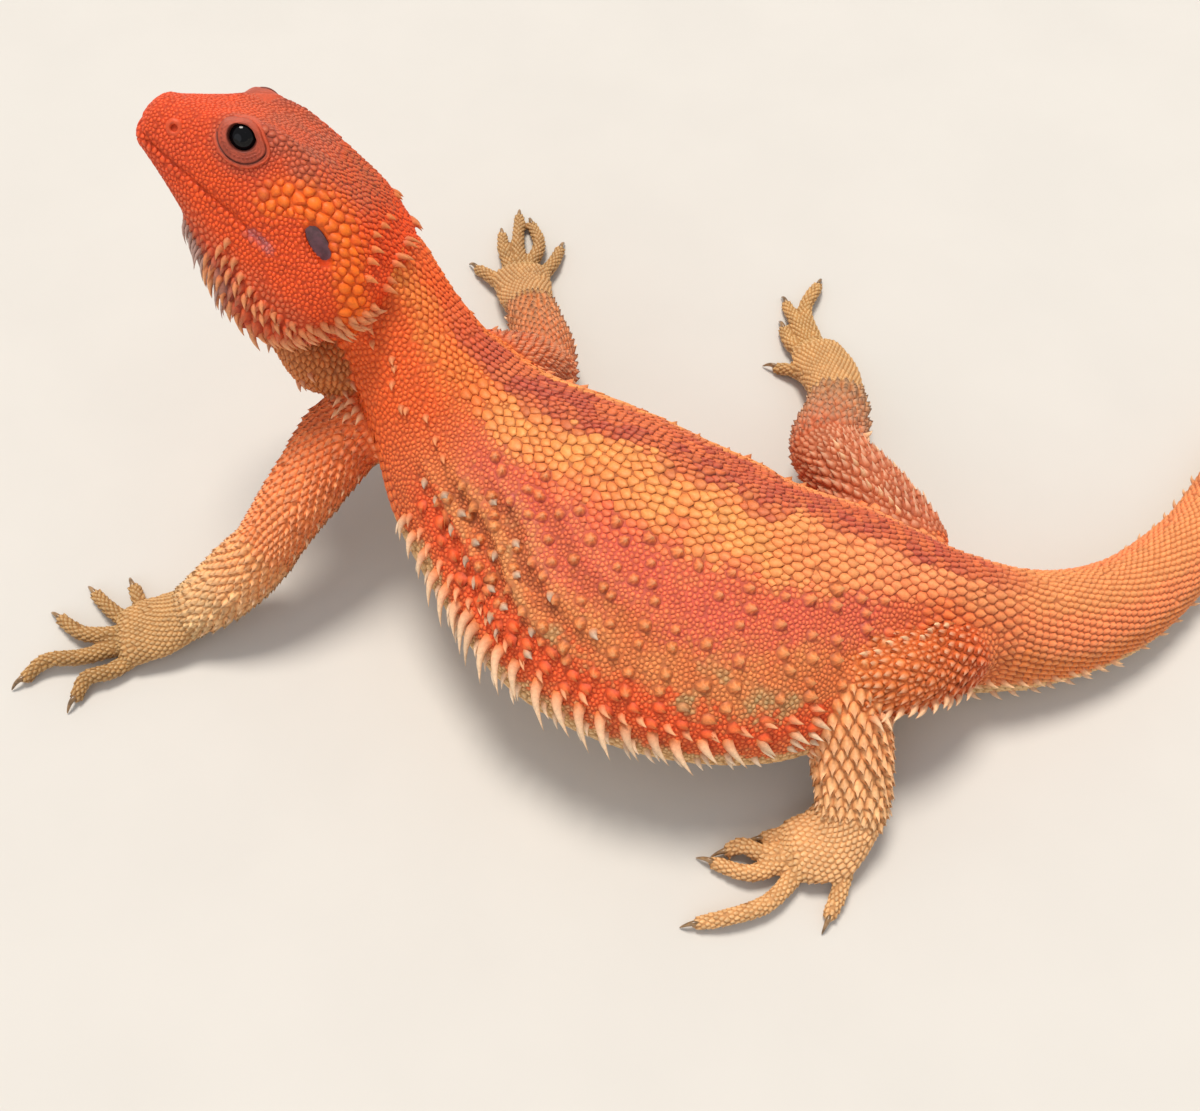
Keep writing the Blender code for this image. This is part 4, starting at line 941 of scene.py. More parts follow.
body_spines, limb_spines, head_spines = [], [], []
for path, count, stray, tall, wide, lean, fall, droop, root, tip in (
        (FRINGE, 23, EVEN, 8.8 * swell(23), 1.65 * swell(23) ** 0.5, 0.85, 0.8, 0.2, "#dc7a40", "#ecc8a2"),
        (shifted(FRINGE, -7), 24, EVEN, 3.2, 0.9, 0.8, 0.5, 0.1, "#cf9262", "#ecd0b0"),
        (shifted(FRINGE[1:], -13), 22, EVEN, 3.8 * swell(22), 1.0, 0.8, 0.4, 0.1, "#c89466", "#e8ceb0"),
        (shifted(FRINGE, 7), 25, EVEN, 2.8, 1.1, 1.0, 0.4, 0.1, "#e8602a", "#f0a878"),
        (((7.75, 2), (6.2, 0)), 10, EVEN, 3.2, 0.95, 0.9, 0, 0, "#d9713a", "#eabb8c"),
        (((7.6, -20), (6.1, -16)), 9, EVEN, 3.0, 0.95, 0.9, 0, 0, "#c9855a", "#e6c09a"),
        (((5.9, -4), (3.4, -4)), 16, EVEN, 2.4, 0.8, 1.2, 0, 0, "#cf7040", "#e2b081"),
        (((15.2, 20), (13.4, 30)), 10, (2.0, 7), 2.3, 1.0, 1.2, 0, 0, "#d05a2a", "#e2905c"),
        (((13.3, 15), (12.2, 13), (11.3, 11)), 8, (2.2, 3.5), 2.2, 1.25, 1.1, 0.1, 0, "#d8844c", "#bfa48c"),
        (((13.0, 26), (11.4, 19)), 7, (2.2, 3.5), 2.2, 1.25, 1.1, 0.1, 0, "#d8844c", "#bfa48c"),
        (((12.6, 39), (11.0, 27)), 5, (2.2, 3.5), 2.2, 1.25, 1.1, 0.1, 0, "#d8844c", "#bfa48c")):
    add_spines(body_spines, along_path(path, count, *stray), tall, wide, lean, fall, droop, root, tip)

# A tuft of soft spines stands in front of the left shoulder, below the beard.
SHOULDER_TUFT = np.array(((-59.1, 12.8, 47.7), (-57.8, 11.0, 47.7), (-56.3, 12.0, 48.0),
                          (-55.2, 9.9, 48.0), (-57.0, 8.6, 47.2), (-59.4, 9.6, 47.2),
                          (-54.0, 8.4, 47.4)))
add_spines(body_spines, SHOULDER_TUFT, 3.2, 1.15, 1.3, 0.1, 0.1, "#e8702c", "#ecb486",
           lie=(-0.35, -0.8, -0.45))
print("Flank, neck and tail have", rooted_in(body_spines), "spines.")

# %% [markdown]
# A leg has its longest spines along the rear edge of the thigh, and shorter rows on its top, on the
# shin and on the arm. Each row runs along its limb at one angle round it.

# %% Spines of the legs and the arms
def along_limb(name, first, last, count, angle):
    """Points along a limb between two shares of its length, with some sway round it."""
    where = np.linspace(first, last, count) * run_length(LIMBS[name])[-1]
    return tube_surface(LIMBS[name], where, angle + DICE.uniform(-6, 6, count))[0]


for side, rear, top in (("left", 0.0, 100.0), ("right", 180.0, 80.0)):
    front = 180.0 - rear
    for limb, first, last, count, angle, tall, wide in (
            ("thigh", 0.12, 0.95, 11, rear, 4.2, 1.15), ("thigh", 0.2, 0.9, 8, top, 2.4, 0.95),
            ("shin", 0.2, 0.95, 8, rear, 2.5, 0.85), ("shin", 0.3, 0.9, 6, front, 2.0, 0.75),
            ("forearm", 0.2, 0.9, 6, rear, 1.9, 0.75), ("forearm", 0.25, 0.85, 5, front, 1.9, 0.75),
            ("upper_arm", 0.45, 0.95, 6, rear, 2.0, 0.75)):
        add_spines(limb_spines, along_limb(f"{limb}_{side}", first, last, count, angle), tall, wide, 1.1,
                   root="#e07c40", tip="#f0c498")
print("Legs and arms have", rooted_in(limb_spines), "spines.")

# %% [markdown]
# The beard's spikes stand along the rear edge of the jaw, and soft dark ones hang under it in
# strands. Nape and temples carry short stout ones. All of them are placed in the head's own frame,
# so they keep their places when the head turns.

# %% Spines of the head and the beard
BEARD_ROW = ((15, 15, -16.5), (8, 18, -20), (0, 20.5, -21), (-7, 22.5, -17.5), (-12.5, 23.5, -11.5),
             (-17, 22.5, -6.5), (-19, 19.5, -1.5))
CHIN_ROW = ((20, 9, -15.5), (12, 13.5, -20), (4, 15.5, -23), (-6, 15.5, -22))
NAPE_ROW = ((-17, 17.5, 4), (-16.5, 13, 8.5), (-16.5, 5, 11.5))
TEMPLE_ROW = ((-9.4, 6, 13), (-9.7, 16.9, 8), (-12.1, 20.4, 4))
STRAND = ((23, 9.5, -13.0), (16, 14.2, -15.5), (8, 17.3, -19.0))
DOWN, BACK, RISING = (-0.6, 0.1, -0.9), (-1.0, 0.1, 0.25), (-1.0, 0.0, 0.3)


def along_head(path, count, sway=0.35):
    """Head points on both sides, evenly spaced along a path in the head's frame."""
    keys = np.array(path, float)
    lengths = run_length(keys)
    line = smooth(keys, lengths, np.linspace(0, lengths[-1], count))
    line = line + DICE.uniform(-sway, sway, (count, 3))
    return from_head(np.concatenate((line, line * (1, -1, 1))))


def toward(first, last, count):
    """Directions in the head's frame for a row on both sides, from its first spine to its last."""
    way = np.linspace(first, last, count)
    return np.concatenate((way @ HEAD_AXES, (way * (1, -1, 1)) @ HEAD_AXES))


for path, count, tall, wide, lean, ways, root, tip in (
        (BEARD_ROW, 18, 4.4, 1.2, 1.6, (DOWN, BACK), "#cf5c2a", "#e2a070"),
        (CHIN_ROW, 11, 3.6, 0.95, 1.0, (DOWN, DOWN), "#b0583a", "#cf9474"),
        (NAPE_ROW, 7, 3.0, 1.05, 1.3, (RISING, RISING), "#d8582a", "#e08c56"),
        (TEMPLE_ROW, 6, 2.4, 1.05, 1.5, (RISING, BACK), "#e0642a", "#e68c50")):
    add_spines(head_spines, along_head(path, count, 0.8), tall * DICE.uniform(0.7, 1.15, 2 * count), wide,
               lean, root=root, tip=tip, lie=toward(*ways, count))
for higher, tall, count in ((2.4, 3.4, 17), (4.8, 2.7, 16), (7.2, 2.1, 13)):
    inner = [(f - 0.3 * higher, l, u + higher) for f, l, u in BEARD_ROW[:6]]
    add_spines(head_spines, along_head(inner, count), tall, 1.05, 1.8, root="#d4602c", tip="#de9260",
               lie=toward(DOWN, BACK, count))
for row, tall in enumerate((5.4, 5.2, 4.4, 3.6, 3.2)):
    strand = [(f, l - 2.9 * row, u - 0.4 * row) for f, l, u in STRAND]
    add_spines(head_spines, along_head(strand, 12, 0.7), tall, 0.66, 1.2, 0.25, root="#9c6456",
               tip="#c0a094", lie=toward((-0.6, 0.0, -1.0), DOWN, 12))
for lower, (f, l, u, wide, tall) in enumerate(BEARD[1:]):
    angle = np.radians(-165 + 150 * np.arange(9) / 8 + 6 * lower)
    roots = from_head(np.column_stack((np.full(9, f), wide * np.cos(angle), u + tall * np.sin(angle))))
    add_spines(head_spines, roots, 2.6, 0.85, 1.0, root="#b8582f", tip="#d99a70", lie=-HEAD_AXES[0])
print("Head and beard have", rooted_in(head_spines), "spines.")

# %% [markdown]
# ## The markings
# An orange-red dragon isn't one orange. A dark red band runs down the spine with yellow-orange
# plates on both sides of it, then coral flanks with violet-red seams, then duller folds with olive
# patches, then a bright red edge above the fringe, and a tan belly. A texture painted by hand could
# hold this, but the export and the scales both need it per scale. So the markings are a function of
# place: layers of colour, each with a soft and slightly wandering border.

# %% A wandering value for borders and patches
def drift(points, size, seed=0):
    """Smooth noise from -1 to 1 at drawing points, with patches about size millimetres wide."""
    spot = points / size + seed * 17.3
    cell = np.floor(spot).astype(np.int64)
    t = spot - cell
    t = t * t * (3 - 2 * t)
    value = np.zeros(len(points))
    for corner in np.ndindex(2, 2, 2):
        x, y, z = (cell + corner).T
        mix = (x * 374761393 + y * 668265263 + z * 2147483647 + seed * 974711) & 0xFFFFFFFF
        mix = ((mix ^ (mix >> 13)) * 1274126177) & 0xFFFFFFFF
        weight = np.prod(np.where(corner, t, 1 - t), axis=1)
        value += weight * (((mix ^ (mix >> 16)) & 0xFFFF) / 32767.5 - 1)
    return value


def ground(count, *codes):
    """Base, seam and tip colours for a number of scales, as (3, count, 3)."""
    return np.array([np.tile(tint(code), (count, 1)) for code in codes])


def lay(coat, mask, base=None, seam=None, tip=None):
    """Lay colours over a coat's base, seam or tip colours by a mask from 0 to 1."""
    for layer, code in enumerate((base, seam, tip)):
        if code:
            coat[layer] += (tint(code) - coat[layer]) * np.clip(mask, 0, 1)[:, None]


MIDLINE = 104.0      # the body leans, so the line of the back lies beyond its top


def near_angle(angle):
    """Degrees up from the left or the right edge, the same on both sides of the line of the back."""
    angle = np.asarray(angle, float)
    return np.where(angle < MIDLINE, angle, (180 - angle) * MIDLINE / (180 - MIDLINE))


def other_side(angle):
    """The angle on the right side that matches one on the left."""
    return 180 - np.asarray(angle, float) * (180 - MIDLINE) / MIDLINE


print("Drift at three points:", drift(np.eye(3) * 5, 4.0).round(2))

# %% [markdown]
# The flank changes most. Between the folds it is violet-red, and its furrows are darkened with painted
# shade;
# on them it is dull orange with olive patches and a paler painted light, and toward the back it turns
# coral. Each line below lays one such colour: a mask says where, and drift breaks it up, because no
# border on a living skin is straight.

# %% Markings of the flank and the back
def mark_flank(coat, station, angle, near, p):
    """Dull lower flank, olive patches, coral upper flank, painted light on the folds and painted shade in
    their furrows.
    """
    trunk = between(station, 8.7, 13.4, 0.5)
    lower = trunk * between(near, 14, 42, 8)
    lay(coat, lower * (0.7 + 0.5 * drift(p, 6, 3)), "#e68a4c")
    lay(coat, lower, seam="#a85a34")
    blotch = drift(p, 7, 5) + 0.35 * drift(p, 2.5, 6)
    patch = step_between(blotch, 0.1, 0.75) * trunk * between(near, 18, 38, 8)
    lay(coat, patch * 0.8, "#b59a66", "#96703f", "#c9bb96")
    coral = trunk * between(near, 37, 64, 7)
    lay(coat, coral * (0.85 + 0.3 * drift(p, 7, 7)), "#e86a46")
    lay(coat, coral * (0.8 + 0.5 * drift(p, 5, 22)), seam="#b4454a")
    lay(coat, coral, tip="#f08a5e")
    # Painted light on the ridges of the folds, and painted shade as a darker seam and base in the furrows
    # below them.
    fold_shading = folds(station, angle) / 2.0 * trunk
    lay(coat, np.clip(fold_shading, 0, 1) * 0.7, "#eba060")
    lay(coat, np.clip(-1.6 * fold_shading, 0, 1) * 0.9, seam="#7c3e24")
    lay(coat, np.clip(-1.4 * fold_shading, 0, 1) * 0.75, "#b4572f")


def mark_edges(coat, station, near, p):
    """The yellow-orange plates beside the line of the back, and the red edge over the fringe."""
    band = between(near, 59, 89, 8) * between(station, 7.0, 14.4, 0.8)
    lay(coat, band * (0.8 + 0.4 * drift(p, 5, 8)), "#f09a50")
    lay(coat, band, seam="#8a4524", tip="#f4b676")
    lay(coat, band * (1 - step_between(station, 8.8, 10.4)) * 0.6, "#ee8258")
    lay(coat, between(near, 3, 17, 5) * between(station, 9.2, 13.3, 0.3), "#ec5a26", "#bf4420", "#f0884c")


print("The flank has", len(FOLDS), "folds on each side.")

# %% [markdown]
# Neck and tail are plainer than the trunk. The dark band along the line of the back is laid over
# them all, and the tan belly comes last.

# %% Markings of neck, tail, midline and belly
def mark_ends(coat, station, near, p):
    """The bright neck, the tail with its faint rings and the tail's paler tip."""
    neck = step_between(station, 13.3, 14.2)
    lay(coat, neck * (0.8 + 0.2 * drift(p, 4, 9)), "#f2601e")
    lay(coat, neck, seam="#c24a18")
    lay(coat, neck * 0.8, tip="#f67c2e")
    lay(coat, neck * between(near, 50, 86, 8) * (0.7 + 0.5 * drift(p, 5, 10)), "#e58136")
    tail = 1 - step_between(station, 6.6, 8.4)
    lay(coat, tail, "#e38e50", "#a85a34", "#f2b680")
    lay(coat, tail * between(near, -2, 26, 8) * step_between(station, 4.0, 6.5), "#e6782e")
    lay(coat, tail * between(near, 30, 66, 8) * step_between(station, 3.0, 6.5), "#f98850")
    lay(coat, 1 - step_between(station, 0.5, 4.5), "#cf8152")
    rings = tail * step_between(drift(np.outer(station * 9, (1, 0, 0)), 4.5, 4), 0.0, 0.5)
    lay(coat, rings * 0.45, "#c86a3c")


def mark_body(station, angle, p):
    """Base, seam and tip colours of the body's scales."""
    coat = ground(len(p), "#e46c34", "#a8452c", "#f0995a")
    near = near_angle(angle) + 4 * drift(p, 11, 1) + 3 * drift(p, 3.5, 2) + DICE.normal(0, 2.0, len(p))
    mark_flank(coat, station, angle, near, p)
    near = near + 5 * drift(p, 13, 32)
    mark_edges(coat, station, near, p)
    mark_ends(coat, station, near, p)
    dark = step_between(near + 4 * drift(p, 5, 31), 79, 88) * between(station, 7.6, 14.6, 0.8)
    lay(coat, dark * (0.85 + 0.4 * drift(p, 4, 11)), "#b94a33")
    lay(coat, dark * step_between(drift(p, 3, 30), -0.25, 0.4) * 0.8, "#e0713a")
    lay(coat, dark, seam="#6f2a20", tip="#dc8a68")
    belly = 1 - step_between(near + 50 * step_between(station, 12.7, 13.4), -10, -2)
    lay(coat, belly, "#dcae76", "#a87c4c", "#ecd0a2")
    return coat


print("The dark line of the back lies at", MIDLINE, "degrees.")

# %% [markdown]
# The head is redder and smoother than the body. Its crown is brown, the jaw is dull, the chin is
# greyish, and a streak of large bright plates runs from the eye over and behind the ear.

# %% Markings of the head
EAR_STREAK = np.array(((13.0, 4.6), (8.6, 8.1), (3.8, 8.9), (-1.8, 8.3), (-5.7, 6.2), (-8.8, 2.4),
                       (-13.2, -2.1), (-16.5, -8.0)))


def from_streak(f, u):
    """Distance from the streak of large plates that runs from the eye over and behind the ear."""
    t = np.linspace(0, len(EAR_STREAK) - 1, 50)
    line = np.column_stack([np.interp(t, range(len(EAR_STREAK)), EAR_STREAK[:, k]) for k in (0, 1)])
    return np.hypot(f[:, None] - line[:, 0], u[:, None] - line[:, 1]).min(1)


def mark_head(p):
    """Base, seam and tip colours of the head's scales, from their place in the head's frame."""
    f, left, u = to_head(p).T
    left = np.abs(left)
    coat = ground(len(p), "#ea5014", "#b2340f", "#f0702c")
    u = u + 0.9 * drift(p, 4, 12)
    lay(coat, step_between(f, 24, 32), "#e04c1e")
    crown = (step_between(u + 0.25 * np.minimum(f - 5, 0), 8.0, 12.5)
             * (1 - step_between(f, 14, 30) * 0.55))
    lay(coat, crown * (0.7 + 0.4 * drift(p, 3, 13)), "#bb5636")
    lay(coat, crown, seam="#84402f", tip="#cf8260")
    lay(coat, crown * (1 - step_between(f, 4, 12)), tip="#cc9054")
    ring = np.linalg.norm(np.column_stack((f, left, u)) - EYE_AT, axis=1)
    lay(coat, (1 - step_between(ring, 6.5, 9.0)) * 0.75, "#b34e36")
    streak = (1 - step_between(from_streak(f, u), 1.0, 5.0)) * step_between(left, 8, 12)
    lay(coat, streak * (0.68 + 0.3 * drift(p, 2.0, 33)), "#fb7410")
    lay(coat, streak * 0.8, seam="#d4560e")
    lay(coat, streak * 0.9, tip="#fb8c26")
    rear = step_between(-f, 8, 13) * (1 - crown) * (1 - streak)
    lay(coat, rear * 0.8, "#f04e14", tip="#f6702a")
    # Painted shade: the hollow between eye and ear is laid darker.
    hollow = np.exp(-((f - 15.5) / 3.2) ** 2 - ((u - 5.5) / 3.6) ** 2) * step_between(left, 8, 12)
    lay(coat, hollow * 0.7, "#c2472a")
    jaw = 1 - step_between(u, -11.5, -8.0)
    lay(coat, jaw * 0.8, "#cb5228")
    lay(coat, jaw, tip="#dc8a62")
    chin = (1 - step_between(u, -18.5, -12.0)) * step_between(f, 3, 12)
    lay(coat, chin * (0.8 + 0.3 * drift(p, 2, 14)), "#9c6c5c")
    lay(coat, chin, seam="#5e4440", tip="#c79a86")
    corner = bump_at(u, lip_height(f), 0.9) * between(f, 6.5, 12.5, 1.0)
    lay(coat, corner * 0.7, "#a07f8c")
    return coat


def mark_pouch(p):
    """Base, seam and tip colours of the pouch's scales."""
    coat = ground(len(p), "#d07434", "#944c22", "#e6a062")
    lay(coat, 0.5 + 0.5 * drift(p, 3, 15), "#b86a34")
    return coat


print("The ear streak has", len(EAR_STREAK), "points.")

# %% [markdown]
# A limb is simpler. Its colour runs from its near end to its far end, from orange to tan at the
# digits, and it is paler below. Seams are a darker shade of it and tips a paler one. The left limbs
# are painted lighter and the right ones darker: painted light and painted shade on one skin.

# %% Markings of the limbs, and of any part
# The left limbs' colours hold painted light and the right limbs' colours painted shade.
LIMB_TONES_AND_SHADE = {        # colours at the near end, then at the far end of each limb
    "upper_arm_left": ("#ff7a3a", "#ff9c5a"), "forearm_left": ("#fba662", "#e8c086"),
    "upper_arm_right": ("#d96a3a", "#e07a44"), "forearm_right": ("#e27c46", "#d88e56"),
    "thigh_left": ("#dc662e", "#e2803e"), "shin_left": ("#f09a5a", "#eeb478"),
    "thigh_right": ("#c46a44", "#cc7850"), "shin_right": ("#c6683e", "#be8454"),
    "hand_left": ("#cc9c62", "#b28850"), "hand_right": ("#c8965e", "#b98f58"),
    "foot_left": ("#e8b076", "#dcaa70"), "foot_right": ("#cc9a60", "#c4985c")}


def mark_limb(name, far, angle, p):
    """Base, seam and tip colours of a limb's scales, from their place between its two ends."""
    first, last = (tint(code) for code in LIMB_TONES_AND_SHADE[name])
    far = np.clip(far + 0.12 * drift(p, 4, 16), 0, 1)[:, None]
    base = (first + (last - first) * far) * (1 + 0.12 * drift(p, 2.5, 17))[:, None]
    under = 1 - step_between(np.sin(np.radians(angle)), -0.6, -0.2)
    lay([base], under * 0.7, "#cfa878")
    return base, base * (0.68, 0.5, 0.42), base + (tint("#f8e4c2") - base) * 0.62


def mark(part, a, b, p):
    """Base, seam and tip colours at drawing points whose chart rows give part, a and b."""
    out = np.zeros((3, len(p), 3))
    for index, name in enumerate(PARTS):
        here = part == index
        if not here.any():
            continue
        if name == "body":
            found = mark_body(a[here], b[here], p[here])
        elif name == "head":
            found = mark_head(p[here])
        elif name == "pouch":
            found = mark_pouch(p[here])
        else:
            far = a[here] if name in LIMBS else np.clip(a[here] / 2, 0, 1)
            found = mark_limb(name, far, b[here], p[here])
        out[:, here] = found
    shade = 1 + 0.07 * drift(p, 1.6, 18) + DICE.normal(0, 0.045, len(p))
    return out * shade[None, :, None]


print("The markings know", len(LIMB_TONES_AND_SHADE), "limb parts and three parts of body and head.")

# %% [markdown]
# ## Where the scales sit
# Large scales come in rows: plates beside the spine, keeled rings round the tail, diamond rows on
# the legs. Tubercles stand apart on the flank. Whatever is left is granules of about a millimetre.
# Real scales never overlap their neighbours' roots, so the seeds are thinned: large scales keep
# their place first, and a smaller one goes where it has room. Plain scattering would leave holes.

# %% Styles of scales
# Each style has its shoulder's width and height, its height in widths, the shift of its apex, its
# reach to the rear, its lift to the rear and its keel.
STYLE_SHAPES = {
    "granule": (0.74, 0.78, 0.19, 0.10, 1.0, 0.0, 0.0),
    "flat": (0.82, 0.80, 0.12, 0.20, 1.0, 0.0, 0.0),
    "plate": (0.84, 0.86, 0.14, 0.20, 1.05, 0.03, 0.0),
    "shield": (0.88, 0.56, 0.16, 0.65, 1.22, 0.05, 0.35),
    "tubercle": (0.50, 0.36, 0.62, 0.45, 1.0, 0.0, 0.0),
    "keeled": (0.64, 0.55, 0.20, 0.70, 1.45, 0.13, 0.35),
    "spiny": (0.60, 0.36, 0.26, 0.98, 1.75, 0.26, 0.55),
    "pointed": (0.55, 0.40, 0.38, 0.95, 1.7, 0.22, 0.2)}
STYLES = list(STYLE_SHAPES)
TAIL_GROWTH = ((0, 2, 5, 7, 8.5), (0.48, 0.66, 0.88, 1.0, 1.05))
LIMB_PITCH = {"upper_arm": 1.95, "forearm": 2.25, "thigh": 2.9, "shin": 2.95}
print("There are", len(STYLES), "styles of scales.")

# %% Rows of large scales
seeds = []


def add_rows(surface, places, angle_range, pitch, size, style, jitter=0.12, mirror=False):
    """Staggered rows across a surface; surface(along, angle) gives points, places the rows."""
    angle = np.arange(angle_range[0], angle_range[1] + 0.1, 2.0)
    for turn, (along, step) in enumerate(places):
        for flip in ((False, True) if mirror else (False,)):
            path = surface(np.full(len(angle), along), other_side(angle) if flip else angle)[0]
            length = run_length(path)
            where = np.arange((0.25 + 0.5 * (turn % 2)) * pitch * step, length[-1], pitch * step)
            if not len(where):
                continue
            spot = np.column_stack([np.interp(where, length, path[:, k]) for k in range(3)])
            spot += DICE.normal(0, jitter * size * step, spot.shape)
            width = size * step * DICE.uniform(0.88, 1.12, len(spot))
            seeds.append((spot, width, np.full(len(spot), STYLES.index(style))))


def rows_at(first, last, pitch, grow=None):
    """Row places between two stations of the body, with a growth factor for each."""
    s, end, rows = *np.interp((first, last), STATIONS, BODY_ALONG), []
    while s < end:
        factor = 1.0 if grow is None else float(np.interp(np.interp(s, BODY_ALONG, STATIONS), *grow))
        rows.append((s, factor))
        s += pitch * factor
    return rows


def add_tube_rows(table, places, pitch, size, style, jitter):
    """Rows all round a limb or a digit."""
    add_rows(lambda s, a: tube_surface(table, s, a), places, (0, 360), pitch, size, style, jitter)


for stations, apart, growth, angles, pitch, size, style, jitter, mirror in (
        ((9.0, 13.1), 5.6, None, (13, 60), 5.2, 3.0, "tubercle", 0.34, True),
        ((9.3, 13.2), 3.9, None, (6, 18), 3.7, 2.6, "pointed", 0.15, True),
        ((7.6, 14.4), 1.75, None, (84, 120), 1.75, 1.8, "keeled", 0.1, False),
        ((8.3, 13.9), 2.1, None, (59, 84), 2.3, 2.4, "shield", 0.1, True),
        ((13.8, 15.9), 1.5, None, (62, 124), 1.5, 1.5, "keeled", 0.14, False),
        ((7.2, 14.0), 1.95, None, (-88, -15), 2.0, 2.0, "plate", 0.05, True),
        ((0.1, 7.4), 1.7, TAIL_GROWTH, (-90, 270), 1.75, 1.8, "keeled", 0.06, False),
        ((7.4, 8.5), 2.2, None, (48, 92), 2.3, 2.3, "keeled", 0.08, True)):
    add_rows(body_surface, rows_at(*stations, apart, growth), angles, pitch, size, style, jitter, mirror)
for name, table in LIMBS.items():
    pitch, length = LIMB_PITCH[name.rsplit("_", 1)[0]], run_length(table)[-1]
    places = [(s, 1 - 0.35 * max(0.0, 4 * s / length - 3)) for s in np.arange(1.0, length, pitch * 0.82)]
    size, style = (2.0, "pointed") if "thigh" in name else (pitch, "spiny")
    add_tube_rows(table, places, pitch, size, style, 0.07)
for name, parts in HANDS.items():
    for table, pitch in [(parts["palm"], 1.35)] + [(digit_table(d), 1.2) for d in parts["digits"]]:
        places = [(s, 1.0) for s in np.arange(0.5, run_length(table)[-1], pitch * 0.85)]
        add_tube_rows(table, places, pitch, pitch, "keeled", 0.04)
print("Rows hold", sum(len(s[0]) for s in seeds), "large scales.")

# %% [markdown]
# Between the rows the skin is full of small scales, in no order but evenly spaced. Many more random
# places are drawn than there is room for, each with the width and style that its place asks for.

# %% Granules and head scales over the rest of the skin
def scatter_on_skin(count):
    """Random drawing points all over the skin, evenly by area."""
    co = skin_points()
    skin.data.calc_loop_triangles()
    tri = np.empty(len(skin.data.loop_triangles) * 3, np.int32)
    skin.data.loop_triangles.foreach_get("vertices", tri)
    a, b, c = (co[tri.reshape(-1, 3)[:, k]] for k in range(3))
    area = np.linalg.norm(np.cross(b - a, c - a), axis=1)
    pick = DICE.choice(len(area), count, p=area / area.sum())
    r, t = np.sqrt(DICE.rand(count, 1)), DICE.rand(count, 1)
    return a[pick] * (1 - r) + b[pick] * r * (1 - t) + c[pick] * r * t


def head_sizes(p):
    """Width and style of head scales: fine on snout and crown, large plates round the ear."""
    f, left, u = to_head(p).T
    left = np.abs(left)
    size = 0.78 + 0.1 * drift(p, 3, 20)
    size += 0.3 * between(f, 8, 16, 2) * between(u, -1, 7, 2)
    streak = (1 - step_between(from_streak(f, u), 1.2, 3.8)) * step_between(left, 9, 13)
    size += (1.4 + 0.5 * drift(p, 3, 34)) * streak
    size += 0.35 * between(f, -18, 12, 2) * step_between(u, 6, 9)
    size += 0.75 * between(f, 8, 30, 2) * bump_at(left, 11.4, 1.1) * step_between(u, 10.0, 12.0)
    size += 0.5 * bump_at(u, lip_height(f) - 1.1, 0.7) * step_between(f, 8, 10)
    size += 1.9 * (1 - step_between(u, -19.5, -9.0)) * between(f, -16, 26, 4)
    style = np.where(size > 1.5, STYLES.index("plate"), STYLES.index("flat"))
    style = np.where((size <= 1.5) & (f < 6) & (u > 7), STYLES.index("keeled"), style)
    ragged = (size > 1.3) & (drift(p, 1.4, 36) > 0.05) & (u > -11) & (f < 9)
    style = np.where(ragged, STYLES.index("keeled"), style)
    style = np.where((u < -11) & (size > 1.3), STYLES.index("pointed"), style)
    return np.clip(size, 0.68, 3.2), style


def is_part(part, *names):
    """True where the chart's part is one of some names."""
    return np.isin(part, [PARTS.index(name) for name in names])


def fill_sizes(part, a, b, p):
    """Width and style of the scales between the rows, from the chart's part, place and angle."""
    size = np.full(len(p), 1.1)
    style = np.full(len(p), STYLES.index("granule"))
    near = near_angle(b)
    body, head = is_part(part, "body"), is_part(part, "head")
    trunk, tail = body & (a > 8.6) & (a < 13.4), body & (a < 7.5)
    size[body] = np.interp(a[body], (0, 4, 7.5, 8.8, 13.4, 14.5), (0.8, 1.1, 1.3, 0.86, 0.86, 1.1))
    size[trunk] = np.interp(near[trunk] + 2.5 * drift(p[trunk], 4, 35), (50, 58, 66), (0.86, 1.4, 1.9))
    style[trunk & (size > 1.25)] = STYLES.index("shield")
    size[body & (near < -12)] = 1.7
    size[tail], style[tail] = np.interp(a[tail], *TAIL_GROWTH) * 1.5, STYLES.index("keeled")
    size[head], style[head] = head_sizes(p[head])
    for names, width, kind in ((("pouch",), 1.3, "keeled"), (LIMBS, 1.7, "spiny"),
                               (("thigh_left", "thigh_right"), 1.2, "keeled"), (HANDS, 1.05, "keeled")):
        here = is_part(part, *names)
        size[here], style[here] = width, STYLES.index(kind)
    return size * (1 + 0.1 * drift(p, 1.5, 21)), style


loose = scatter_on_skin(300000)
near = look_up(loose)
sizes, styles = fill_sizes(chart["part"][near], chart["a"][near], chart["b"][near], loose)
order = np.argsort(-(sizes * DICE.uniform(0.9, 1.1, len(sizes))))
spots, widths, kinds = (np.concatenate([s[k] for s in seeds] + [loose_ones[order]])
                        for k, loose_ones in enumerate((loose, sizes, styles)))
rooted = sum(len(s[0]) for s in seeds)
print("There are", len(spots), "candidate places.")

# %% [markdown]
# Then the places are thinned. No scale grows on the eyes, ears, nostrils or lips. Each one that
# keeps its place clears the later ones too close to it, and rows may stand a little closer.

# %% Thin the seeds so that each scale has its room
ROW_SPACING, SPACING, SEARCH = 0.38, 0.45, 1.15      # in widths
NOSE_ROOM, LIP_ROOM = 1.75, 0.24


